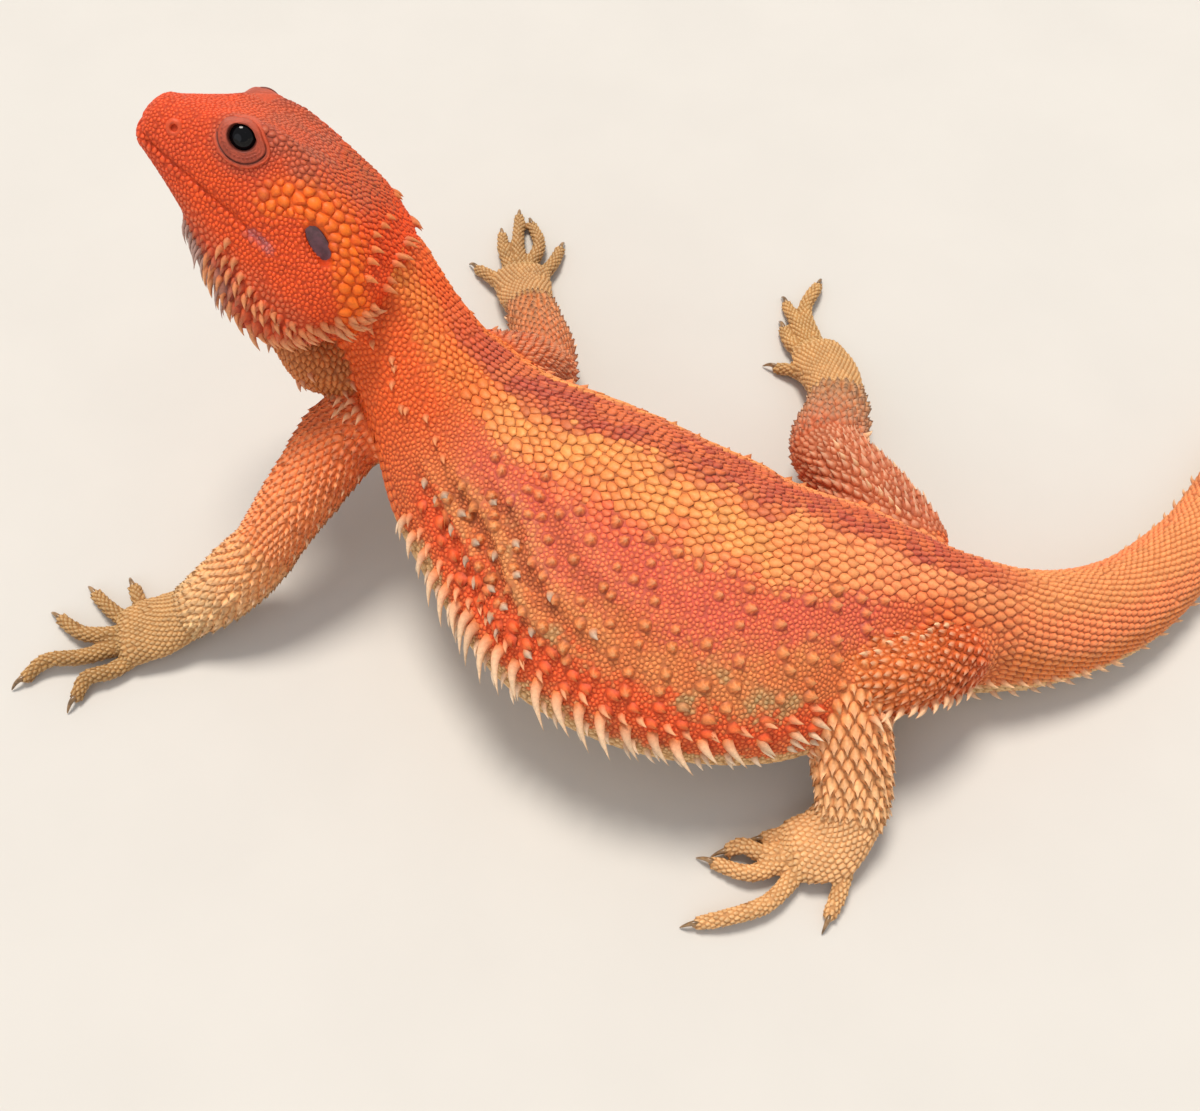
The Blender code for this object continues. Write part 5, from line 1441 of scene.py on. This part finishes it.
def bare_places(p, width):
    """True where no scale of a width grows: eyes, ears, nostrils and the mouth line."""
    f, left, u = to_head(p).T
    h = np.column_stack((f, np.abs(left), u))
    off = h - EYE_AT
    off[:, 2] /= np.where(off[:, 2] > 0, LID_TOP, 1.0)
    on_eye = np.linalg.norm(off, axis=1) < LID_RADIUS - 0.1
    on_nose = np.linalg.norm(h - NOSTRIL_AT, axis=1) < NOSE_ROOM
    slant = math.radians(EAR_SLANT)
    along = (h[:, 0] - EAR_AT[0]) * math.cos(slant) + (h[:, 2] - EAR_AT[2]) * math.sin(slant)
    across = (h[:, 2] - EAR_AT[2]) * math.cos(slant) - (h[:, 0] - EAR_AT[0]) * math.sin(slant)
    room = width * 0.42
    in_ear = ((along / (EAR_LONG + room)) ** 2 + (across / (EAR_WIDE + room)) ** 2 < 1) & (h[:, 1] > 14)
    on_lip = (np.abs(u - lip_height(f)) < LIP_ROOM) & (f > MOUTH_CORNER - 1) & (f < 46)
    return on_eye | on_nose | in_ear | on_lip


def thin(spots, widths, rows):
    """Indices of seeds that keep their place; each clears the later ones near it, rows less so."""
    tree = tree_of(spots)
    alive = np.ones(len(spots), bool)
    kept = []
    for k in range(len(spots)):
        if not alive[k]:
            continue
        kept.append(k)
        width = widths[k]
        for _, other, distance in tree.find_range(spots[k], width * SEARCH):
            spacing = ROW_SPACING if other < rows else SPACING
            if other > k and distance < spacing * (width + widths[other]):
                alive[other] = False
    return np.array(kept)


home, _, gap = snap(spots[:rooted])
good = (gap < 1.6) & ~is_part(chart["part"][look_up(home)], "head", "pouch")
spots = np.concatenate((home[good], spots[rooted:]))
widths, kinds = (np.concatenate((values[:rooted][good], values[rooted:])) for values in (widths, kinds))
clear = ~(bare_places(spots, widths) & (np.linalg.norm(to_head(spots) - (15, 0, 0), axis=1) < 45))
rooted = int(clear[:good.sum()].sum())
spots, widths, kinds = spots[clear], widths[clear], kinds[clear]
kept = thin(spots, widths, rooted)
spots, widths, kinds = spots[kept], widths[kept], kinds[kept]
print("The coat has", len(spots), "scales.")

# %% [markdown]
# ## Lids and eyes
# The eye of a bearded dragon looks out of a round turret of lids: a smooth disc of fine skin with a
# dark groove near its edge and a row of tiny beads under the eye. The lids could be sculpted into
# the skin, but the skin's mesh is too coarse for them. So they are a height field over a disc: a
# profile by radius, with wrinkles, groove and beads added, draped on the head's own surface so that
# its edge disappears under the scales. The eye is a dome that fills the opening.

# %% Lids
LID_PITCH, LID_GROOVE, BEADS = 0.62, 5.2, 30
LID_TONES = ("#b8523a", "#cc5230", "#5c2a22", "#7e2c1e", "#57251d")    # folds, outer edge, groove,
pieces = []                                                           # beads and inner edge
head_surface = BVHTree.FromPolygons(from_head(fine_head.reshape(-1, 3)).tolist(),
                                    grid_faces(*fine_head.shape[:2]).tolist())


def surface_height(matrix, x, y):
    """Height of the uncut head over a face frame's plane, in millimetres."""
    out = np.array(matrix.to_3x3())
    start = np.array(matrix.translation) / MM + ORIGIN + out @ (x, y, 14.0)
    hit = head_surface.ray_cast(start.tolist(), (-out[:, 2]).tolist())
    return max(14.0 - hit[3], -7.0) if hit[0] else -7.0


def lid_height(radius, turn, ground):
    """Height and colour of the lids at a radius and an angle from the lower rim."""
    upper = float(step_between(-math.cos(turn), -0.1, 0.7))
    rim = (1.2 - 0.35 * upper) * (1 - step_between(radius, 2.9, LID_RADIUS) ** 0.9) + 0.1
    rim -= min(3.0, 0.6 * max(0.0, -ground - 1.2)) * float(step_between(radius, 3.2, 5.0))
    if radius < 3.0:
        rim -= 2.6 * (3.0 - radius) ** 1.3
    height = rim + ground * float(step_between(radius, 3.2, 5.4))
    height -= 0.34 * bump_at(radius, LID_GROOVE, 0.16)
    warp = 0.3 * math.sin(3 * turn + 1) + 0.2 * math.sin(7 * turn)
    height += 0.045 * math.sin(2 * math.pi * (radius + warp) / LID_PITCH) * (radius > 3.2)
    lower = step_between(math.cos(turn), -0.1, 0.35)
    bead = lower * bump_at(radius, 4.15, 0.26) * (0.5 + 0.5 * math.cos(BEADS * turn))
    height += 0.26 * bead
    skin_tone, outer, groove, beads, inner = (tint(code) for code in LID_TONES)
    colour = skin_tone * (0.95 + 0.08 * math.sin(5 * turn))
    for other, share in ((outer, step_between(radius, 5.3 - 1.1 * upper, 5.9)),
                         (groove, bump_at(radius, LID_GROOVE, 0.22) * (1 - 0.8 * upper)),
                         (beads, bead * 0.8), (inner, 1 - step_between(radius, 2.7, 3.3))):
        colour = colour + (other - colour) * float(share)
    return height, colour


def make_lids(side, around=180):
    """The lids of one eye, narrower above it than below, with a skirt that goes under the scales."""
    eye_frame = face_frame(EYE_AT, EYE_AXIS, side)
    down = math.atan2(-float(HEAD_AXES[2] @ np.array(eye_frame.col[1][:3])),
                      -float(HEAD_AXES[2] @ np.array(eye_frame.col[0][:3])))
    rings, shades = [], []
    for radius in np.r_[2.3, 2.5, 2.7, 2.85, np.arange(3.0, LID_RADIUS + 0.35, 0.075)]:
        ring = []
        for k in range(around):
            a = 2 * math.pi * k / around
            narrow = float(step_between(-math.cos(a - down), 0.0, 0.8) * step_between(radius, 2.8, 3.6))
            reach = radius * (1 - (1 - LID_TOP) * narrow)
            x, y = reach * math.cos(a) * 1.04, reach * math.sin(a) * 0.97
            height, colour = lid_height(radius, a - down, surface_height(eye_frame, x, y))
            height -= 1.2 * float(step_between(radius, LID_RADIUS - 0.1, LID_RADIUS + 0.35))
            ring.append(eye_frame @ Vector((x * MM, y * MM, height * MM)))
            shades.append(colour)
        rings.append(ring)
    for depth in (1.5, 2.5):
        rings.append([p - eye_frame.col[2].to_3d() * depth * MM for p in rings[-1]])
        shades += [shades[-1]] * around
    lids = grid_object("lids_" + SIDES[side], np.array(rings) / MM + ORIGIN)
    paint_points(lids, np.array(shades + [shades[0]] * 2))
    return lids


lids = {side: make_lids(side) for side in SIDES}
print("The lids have", len(lids[1].data.vertices), "points a side.")

# %% [markdown]
# The animal's eye looks black, with a faint blue-grey ring of painted reflection on its dome. A sphere
# would stand out too far, so the eyeball is a low dome turned about the eye's axis, and its ring is a
# point colour.

# %% Eyes
def make_eye(side, around=64):
    """One low dome with a faint ring of painted reflection."""
    profile = [(3.0, -1.6)] + [(3.2 * math.sin(a), 2.9 * math.cos(a) - 1.45)
                               for a in np.radians(np.linspace(96, 3, 26))]
    eye = lathe("eyeball_" + SIDES[side], face_frame(EYE_AT, EYE_AXIS, side), profile, around)
    shade = np.tile(tint("#07070a"), (len(eye.data.vertices), 1))
    for ring, (radius, height) in enumerate(profile):
        # Painted reflection: a faint blue-grey ring on the dome.
        painted_sheen = bump_at(radius, 2.2, 0.16) * (height > 1)
        shade[ring * around:(ring + 1) * around] += tint("#4a5664") * painted_sheen * 0.6
    paint_points(eye, shade)
    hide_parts("eye_" + SIDES[side])
    return eye


eyes = {side: make_eye(side) for side in SIDES}
for side in SIDES:
    pieces += [(lids[side], "head_scales"), (eyes[side], "eye")]
print("Each lid turret is", round(2 * LID_RADIUS), "mm across.")

# %% [markdown]
# ## Ears, nostrils and claws
# The ear is a bare oval membrane at the bottom of a pit, and the nostril is a hole in one swollen
# scale. Both are turned forms too. The nostril's scale would look machined, so noise sways it.

# %% Ears and nostrils
EAR_PROFILE = (1.0, -2.3), (1.02, -1.5), (0.9, -1.62), (0.7, -1.78), (0.4, -1.9), (0.1, -1.95)
NOSTRIL_PROFILE = ((0.78, -1.0), (0.74, 0.1), (0.86, 0.36), (1.15, 0.5), (1.5, 0.42), (1.85, 0.15),
                   (2.0, -0.25), (1.8, -0.9))
noise.seed_set(SEED)      # without a seed, Blender's noise starts from the clock


def sway_points(obj, amount, size):
    """Push points about by smooth noise, in millimetres."""
    for vert in obj.data.vertices:
        vert.co += noise.noise_vector(vert.co / (size * MM)) * amount * MM


def make_ear(side):
    """The oval membrane at the bottom of one ear pit."""
    ear = slanted_oval("membrane_" + SIDES[side], EAR_PROFILE, 48, side)
    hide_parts("ear_drum_" + SIDES[side])
    return ear


def make_nostril(side):
    """The swollen scale round one nostril."""
    frame_at = face_frame(NOSTRIL_AT, NOSTRIL_AXIS, side)
    ring = lathe("nostril_" + SIDES[side], frame_at, NOSTRIL_PROFILE, 40)
    sway_points(ring, 0.1, 1.4)
    paint_points(ring, np.tile(tint("#d9522a"), (len(ring.data.vertices), 1)))
    return ring


ears = [make_ear(side) for side in SIDES]
nostrils = [make_nostril(side) for side in SIDES]
pieces += [(ear, "ear_drum") for ear in ears] + [(ring, "head_scales") for ring in nostrils]
print("Made", len(ears), "ear membranes and", len(nostrils), "nostrils.")

# %% [markdown]
# A claw is a curved horn over the last bone of a digit. A cone would be straight, so the claw is a
# tube that tapers and hooks down to the floor, as in the CAD model but with more sides.

# %% Claws
def make_claw(name, digit, steps=14):
    """A claw that carries on from a digit's last two points."""
    a, b = (np.array(p, float) for p in digit[-2:])
    ahead = unit((b - a) * (1, 1, 0))
    rows = []
    for t in np.linspace(0, 1, steps):
        point = b - ahead * 0.4 + ahead * CLAW_LENGTH * t
        point[2] = b[2] + 0.9 * math.sin(math.pi * t) - (b[2] - 0.45) * t * t
        radius = CLAW_RADIUS * (1 - t) ** 0.75 + 0.14 * t
        rows.append((*point, radius * 0.85, radius))
    return grid_object(name, tube_grid(rows, 14, CLAW_LENGTH / (steps - 1)))


claws = []
for name, parts in HANDS.items():
    for label, digit in zip(DIGIT_NAMES, parts["digits"]):
        claw = make_claw(f"horn_claw_{name}_{label}", digit)
        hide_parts(f"claw_{name}_{label}")
        claws.append(claw)
pieces += [(claw, "claw") for claw in claws]
print("Made", len(claws), "claws.")

# %% [markdown]
# ## The shape of a scale
# Neighbouring scales share a seam, halfway between their roots or nearer to the smaller one. A true
# Voronoi diagram on a curved skin is heavy. Each scale instead looks at its twelve nearest
# neighbours, in its own tangent plane, and takes in each direction the nearest seam. A ring there,
# a higher ring inside it and an apex make the scale: low for a plate, steep for a tubercle, drawn
# out to the rear for a keeled one. Array code makes all scales of a kind at once.

# %% Neighbours and colours of every scale
spots, outward, _ = snap(spots)
near = look_up(spots)
part, station, round_at, lie = (chart[key][near] for key in ("part", "a", "b", "lie"))
in_head = to_head(spots)
hang = is_part(part, "head", "pouch") * (1 - step_between(in_head[:, 2], -13, -7))
lie = along_skin(lie + (-0.9 * HEAD_AXES[2] + 0.35 * HEAD_AXES[0]) * hang[:, None], outward)
across = np.cross(outward, lie)
scale_tree = tree_of(spots)
others = np.array([[hit[1] for hit in scale_tree.find_n(p, 13)][1:] for p in spots.tolist()])
base, seam, tip = mark(part, station, round_at, spots)
bumps = kinds == STYLES.index("tubercle")
base[bumps] = base[bumps] * 0.5 + tint("#e98a4c") * 0.5
tip[bumps] = tip[bumps] * 0.4 + tint("#dcae78") * 0.6
print("The first scale's neighbours are", others[0])

# %% Seams, rings and apexes of many scales at once
BURIED = 0.14         # millimetres that a scale's edge goes into the skin


def seam_reach(index, sides):
    """Distance from each scale's root to its seam in a number of directions round it."""
    apart = spots[others[index]] - spots[index][:, None]
    x = (apart * lie[index][:, None]).sum(2)
    y = (apart * across[index][:, None]).sum(2)
    distance, angle = np.hypot(x, y), np.arctan2(y, x)
    share = widths[index][:, None] / (widths[index][:, None] + widths[others[index]])
    turn = np.arange(sides) * 2 * np.pi / sides
    cosine = np.cos(turn[None, :, None] - angle[:, None, :])
    reach = np.where(cosine > 0.15, (distance * share)[:, None, :] / np.maximum(cosine, 0.15), 99.0)
    return np.minimum(reach.min(2), widths[index][:, None] * 0.85)


def scale_rings(index, sides, shape):
    """Points and colours of the scales at index: seam ring, shoulder ring and apex."""
    shoulder, rise, tall, shift, stretch, lift, keel = shape
    light = 0.75 if lift > 0.15 or tall > 0.5 else 0.4
    turn = np.arange(sides) * 2 * np.pi / sides
    reach = seam_reach(index, sides) * 0.97
    width = 2 * np.sort(reach, 1)[:, sides // 2]
    rear = np.maximum(np.cos(turn), 0) ** 3
    keel = np.abs(np.cos(turn)) ** 6 * keel
    high = (tall * width)[:, None]
    rim = reach * (1 + (stretch - 1) * rear)
    root, ahead, aside, above = (rows[index][:, None] for rows in (spots, lie, across, outward))

    def ring_at(radius, height):
        """The points of every scale's ring at a radius and a height over its root."""
        return (root + ahead * (radius * np.cos(turn))[..., None]
                + aside * (radius * np.sin(turn))[..., None] + above * height[..., None])

    seam_ring = ring_at(rim, -BURIED + lift * width[:, None] * rear * (stretch > 1.1))
    ribs = 1 + (0.12 if shape == STYLE_SHAPES["tubercle"] else 0.04) * (-1.0) ** np.arange(sides)
    shoulder_ring = ring_at(rim * shoulder * ribs + shift * 0.25 * reach * rear,
                            high * (rise + keel) + lift * width[:, None] * rear)
    back = reach[:, 0] * shift * stretch
    apex = (spots[index] + lie[index] * back[:, None]
            + outward[index] * (high[:, 0] + lift * width)[:, None])
    points = np.concatenate((seam_ring, shoulder_ring, apex[:, None]), 1)
    # The shoulder ring's colour follows the ribs: painted light on each rib and painted shade between them.
    middle = base[index][:, None] * ribs[None, :, None]
    shade = np.concatenate((np.repeat(seam[index][:, None], sides, 1), middle,
                            (tip[index] * light + base[index] * (1 - light))[:, None]), 1)
    return points, shade


def grow_scales(name, chosen):
    """One mesh of all chosen scales, each style in its own shape."""
    spots_uv = np.stack((chart["u"][near], chart["v"][near]), 1)
    low, high = spots_uv[chosen].min(0), spots_uv[chosen].max(0)
    points, shades, faces, uvs, total = [], [], [], [], 0
    for number, style in enumerate(STYLES):
        index = np.flatnonzero(chosen & (kinds == number))
        if not len(index):
            continue
        sides = {"granule": 6, "flat": 6, "tubercle": 12}.get(style, 8)
        got, shade = scale_rings(index, sides, STYLE_SHAPES[style])
        radius = np.r_[np.full(sides, 1.0), np.full(sides, 0.6), 0.0] * PATCH / 2
        uvs.append(spread_uv(spots_uv[index], round_patch(sides, radius), low, high))
        faces.append(fan_faces(2, sides, len(index), total))
        points.append(got.reshape(-1, 3))
        shades.append(shade.reshape(-1, 3))
        total += len(points[-1])
    return build_mesh(name, np.concatenate(points), np.concatenate(faces), np.concatenate(shades),
                      np.concatenate(uvs))


print("A scale on average has", round(float(widths.mean()), 2), "mm of room.")

# %% [markdown]
# The coat is cut into pieces by region, so that each has a finish of its own and a fair share of
# the UV map. The borders follow the chart: past the tail's root, over the flank, under the belly.

# %% Grow the coat, piece by piece
TAIL_ROOT, FLANK_TOP, FLANK_FOOT = 7.6, 58, -14
edge = near_angle(round_at)
right = round_at > MIDLINE
tail = is_part(part, "body") & (station < TAIL_ROOT)
trunk = is_part(part, "body") & ~tail
flank = trunk & (edge <= FLANK_TOP) & (edge > FLANK_FOOT)
coat_pieces = {
    "scales_head": (is_part(part, "head"), "head_scales"),
    "scales_pouch": (is_part(part, "pouch"), "head_scales"),
    "scales_back": (trunk & (edge > FLANK_TOP), "body_scales"),
    "scales_flank_left": (flank & ~right, "body_scales"),
    "scales_flank_right": (flank & right, "body_scales"),
    "scales_belly": (trunk & (edge <= FLANK_FOOT), "body_scales"),
    "scales_tail": (tail, "body_scales")}
for word, starts, slot in (("arms", ("upper_arm", "forearm"), "limb_scales"),
                           ("legs", ("thigh", "shin"), "limb_scales"),
                           ("hands", "hand", "digit_scales"), ("feet", "foot", "digit_scales")):
    names = [name for name in PARTS if name.startswith(starts)]
    coat_pieces["scales_" + word] = (is_part(part, *names), slot)
for name, (chosen, slot) in coat_pieces.items():
    coat = grow_scales(name, chosen)
    pieces.append((coat, slot))
    print(name, "has", int(chosen.sum()), "scales and", len(coat.data.polygons), "triangles.")

# %% [markdown]
# Little of the skin shows between the scales, but it is seen in the seams. So it takes the mean of
# the base and seam colours of the scale over it, a little darker.

# %% Give the skin the colours of the scales over it
points = skin_points()
nearest = np.array([scale_tree.find(p)[1] for p in points.tolist()])
paint_points(skin, base[nearest] * 0.45 + seam[nearest] * 0.5)
print("The skin carries the coat's markings.")

# %% [markdown]
# ## Materials
# The animal's surface is horn in several forms. A scale is a plate of beta-keratin, a matt horn
# with the colour in and under it. The skin between is softer and duller. All of them read their
# colour from the points of the mesh, so skin, scales and spines share one set of markings, and
# nodes only add what is finer than a scale.

# %% One function for every node
def add_node(tree, kind, links=None, **settings):
    """Add a node, set its properties or its inputs by name, and link its inputs."""
    node = tree.nodes.new(kind)
    for key, value in settings.items():
        if hasattr(node, key):
            setattr(node, key, value)
        else:
            node.inputs[key.replace("_", " ")].default_value = value
    for key, source in (links or {}).items():
        tree.links.new(source, node.inputs[key])
    return node


def new_material(name):
    """A material with an empty node tree."""
    material = bpy.data.materials.new(name)
    material.use_nodes = True
    material.node_tree.nodes.clear()
    return material, material.node_tree


def finish_material(tree, shader):
    """Lead a shader to the material's surface."""
    add_node(tree, "ShaderNodeOutputMaterial", {"Surface": shader.outputs["BSDF"]})


def keratin(name, grain_mm, roughness, bump_mm, mottle=0.16):
    """Horn with its colour in the mesh's points: a fine mottle, a fine grain and a soft sheen."""
    material, tree = new_material(name)
    place = add_node(tree, "ShaderNodeTexCoord")
    colour = add_node(tree, "ShaderNodeAttribute", attribute_name="Tint")
    cloud = add_node(tree, "ShaderNodeTexNoise", {"Vector": place.outputs["Object"]},
                     Scale=1.0 / (grain_mm * 3.0 * MM), Detail=3.0, Roughness=0.6)
    grain = add_node(tree, "ShaderNodeTexNoise", {"Vector": place.outputs["Object"]},
                     Scale=1.0 / (grain_mm * MM), Detail=2.0, Roughness=0.55)
    span = add_node(tree, "ShaderNodeMapRange", {"Value": cloud.outputs["Fac"]},
                    From_Min=0.3, From_Max=0.7, To_Min=1.0 - mottle, To_Max=1.0 + mottle)
    shade = add_node(tree, "ShaderNodeVectorMath",
                     {0: colour.outputs["Color"], "Scale": span.outputs["Result"]}, operation="SCALE")
    dull = add_node(tree, "ShaderNodeMapRange", {"Value": grain.outputs["Fac"]},
                    From_Min=0.3, From_Max=0.7, To_Min=roughness - 0.07, To_Max=roughness + 0.09)
    relief = add_node(tree, "ShaderNodeBump", {"Height": grain.outputs["Fac"]},
                      Strength=0.6, Distance=bump_mm * MM)
    shader = add_node(tree, "ShaderNodeBsdfPrincipled",
                      {"Base Color": shade.outputs["Vector"], "Roughness": dull.outputs["Result"],
                       "Normal": relief.outputs["Normal"]}, IOR=1.55, Specular_IOR_Level=0.3)
    finish_material(tree, shader)
    return material


finishes = {"head_scales": keratin("head_scale_keratin", 0.22, 0.52, 0.05),
            "body_scales": keratin("body_scale_keratin", 0.25, 0.56, 0.06),
            "limb_scales": keratin("limb_scale_keratin", 0.25, 0.55, 0.06),
            "digit_scales": keratin("digit_scale_keratin", 0.2, 0.55, 0.05)}
loose_skin = keratin("skin_between_scales", 0.35, 0.68, 0.12, 0.2)
print("Five keratin finishes are ready.")

# %% [markdown]
# The eyes of museum models are painted glass, smooth and dark. An eardrum is thin dull skin. A claw
# is polished horn, streaked along its length. The floor is matt paper with hardly any mottle.

# %% Eye, ear, claw and floor
def plain_horn(name, code, roughness, grain_mm, change, coat=0.0):
    """A surface with one colour that changes by noise along its length."""
    material, tree = new_material(name)
    place = add_node(tree, "ShaderNodeTexCoord")
    cloud = add_node(tree, "ShaderNodeTexNoise", {"Vector": place.outputs["Object"]},
                     Scale=1.0 / (grain_mm * MM), Detail=4.0)
    ramp = add_node(tree, "ShaderNodeValToRGB", {"Fac": cloud.outputs["Fac"]})
    for stop, factor, at in zip(ramp.color_ramp.elements, (1 - change, 1 + change), (0.35, 0.65)):
        stop.position = at
        stop.color = (*(tint(code) * factor), 1.0)
    shader = add_node(tree, "ShaderNodeBsdfPrincipled", {"Base Color": ramp.outputs["Color"]},
                      Roughness=roughness, IOR=1.5, Coat_Weight=coat, Coat_Roughness=0.04)
    finish_material(tree, shader)
    return material


def glass_eye():
    """Dark, very smooth glass, whose paint is in the mesh's points."""
    material, tree = new_material("painted_glass_eye")
    colour = add_node(tree, "ShaderNodeAttribute", attribute_name="Tint")
    shader = add_node(tree, "ShaderNodeBsdfPrincipled", {"Base Color": colour.outputs["Color"]},
                      Roughness=0.08, IOR=1.4, Specular_IOR_Level=0.25, Coat_Weight=0.1,
                      Coat_Roughness=0.03)
    finish_material(tree, shader)
    return material


finishes["eye"] = glass_eye()
finishes["ear_drum"] = plain_horn("ear_membrane", "#6b4550", 0.38, 1.2, 0.3, 0.2)
finishes["claw"] = plain_horn("claw_horn", "#8c6c48", 0.34, 1.5, 0.45, 0.25)
floor_paper = plain_horn("floor_paper", "#d3d0ca", 0.85, 40.0, 0.012)
print("Eye, ear, claw and floor finishes are ready.")

# %% [markdown]
# The rows of spines become meshes now, and each piece takes the finish of its slot. Only the skin
# has one of its own, because it shows between the scales.

# %% Grow the spines and give every piece its finish
for name, group, slot in (("head_spines", head_spines, "head_scales"),
                          ("flank_spines", body_spines, "body_scales"),
                          ("leg_spines", limb_spines, "limb_scales")):
    pieces.append((grow_spines(name, group), slot))
pieces.append((skin, "body_scales"))
for piece, slot in pieces:
    piece.data.materials.append(loose_skin if piece is skin else finishes[slot])
    piece.data.shade_smooth()
print(len(pieces), "pieces have a finish.")

# %% [markdown]
# ## Riding on the body
# Every piece rides on the one body, and the CAD nodes that the pieces stand for are hidden. The CAD
# nodes stay in the physics model.

# %% Hand the pieces to the frame
FLESH = ["head", "beard", "neck", "torso", "tail_base", "tail_middle", "tail_end", "tail_tip"]
FLESH += list(LIMBS) + list(HANDS)
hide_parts(*FLESH)
for piece, slot in pieces:
    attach(piece, "root")
print(len(pieces), "pieces ride on the model.")

# %% [markdown]
# ## Floor, light and camera
# A photograph in the sun has one hard light and a sky. The model is shown as in a studio instead: a
# large soft lamp from above and behind, a weaker one in front and a pale room. The floor curves up
# far away, so no horizon cuts the picture.

# %% Floor
def curved_floor(size=6.0, steps=64, steep=0.12):
    """A pale sweep: flat under the model, rising in a soft curve far away on every side."""
    bm = bmesh.new()
    bmesh.ops.create_grid(bm, x_segments=steps, y_segments=steps, size=size)
    for vert in bm.verts:
        vert.co.z = steep * max(0.0, vert.co.xy.length - 0.5 * size) ** 2
    mesh = bpy.data.meshes.new("floor")
    bm.to_mesh(mesh)
    bm.free()
    mesh.shade_smooth()
    return place("floor", mesh)


floor = curved_floor()
floor.data.materials.append(floor_paper)
print("The floor is laid.")

# %% Light
def soft_lamp(name, toward, strength, spread, code):
    """A large far lamp: even light from one direction, with shadows as soft as its spread."""
    lamp = bpy.data.lights.new(name, "SUN")
    lamp.energy, lamp.angle, lamp.color = strength, math.radians(spread), tint(code)
    obj = place(name, lamp)
    obj.location = (0.0, 0.0, 1.0)
    obj.rotation_euler = Vector(toward).to_track_quat("-Z", "Y").to_euler()


soft_lamp("key", (0.10, -0.36, -1.0), 2.75, 20, "#fff6ec")
soft_lamp("fill", (0.55, 0.85, -0.6), 0.5, 50, "#eef4ff")
room = bpy.data.worlds.new("pale_room")
room.use_nodes = True
sky = room.node_tree.nodes["Background"]
sky.inputs["Color"].default_value = (*tint("#f1f3f5"), 1.0)
sky.inputs["Strength"].default_value = 0.55
bpy.context.scene.world = room
bpy.context.scene.view_settings.view_transform = "Standard"
print("Two lamps and a pale room light the model.")

# %% [markdown]
# The camera stands at a fitted place: 331 mm from the drawing's zero point, looking down at
# it by 59 degrees through a 39 mm lens.

# %% Camera
CAMERA_PITCH, CAMERA_FAR = 59.0, 331.0
lens = bpy.data.cameras.new("camera")
lens.lens, lens.sensor_width, lens.clip_start = 39.0, 36.0, 0.01
camera = place("camera", lens)
pitch = math.radians(CAMERA_PITCH)
camera.location = world((0.0, -CAMERA_FAR * math.cos(pitch), CAMERA_FAR * math.sin(pitch)))
camera.rotation_euler = (math.pi / 2 - pitch, 0.0, 0.0)
bpy.context.scene.camera = camera
print("The camera looks down by", CAMERA_PITCH, "degrees.")

# %% [markdown]
# Last, the scene is complete.

# %% Finish
print("The scene is complete.")
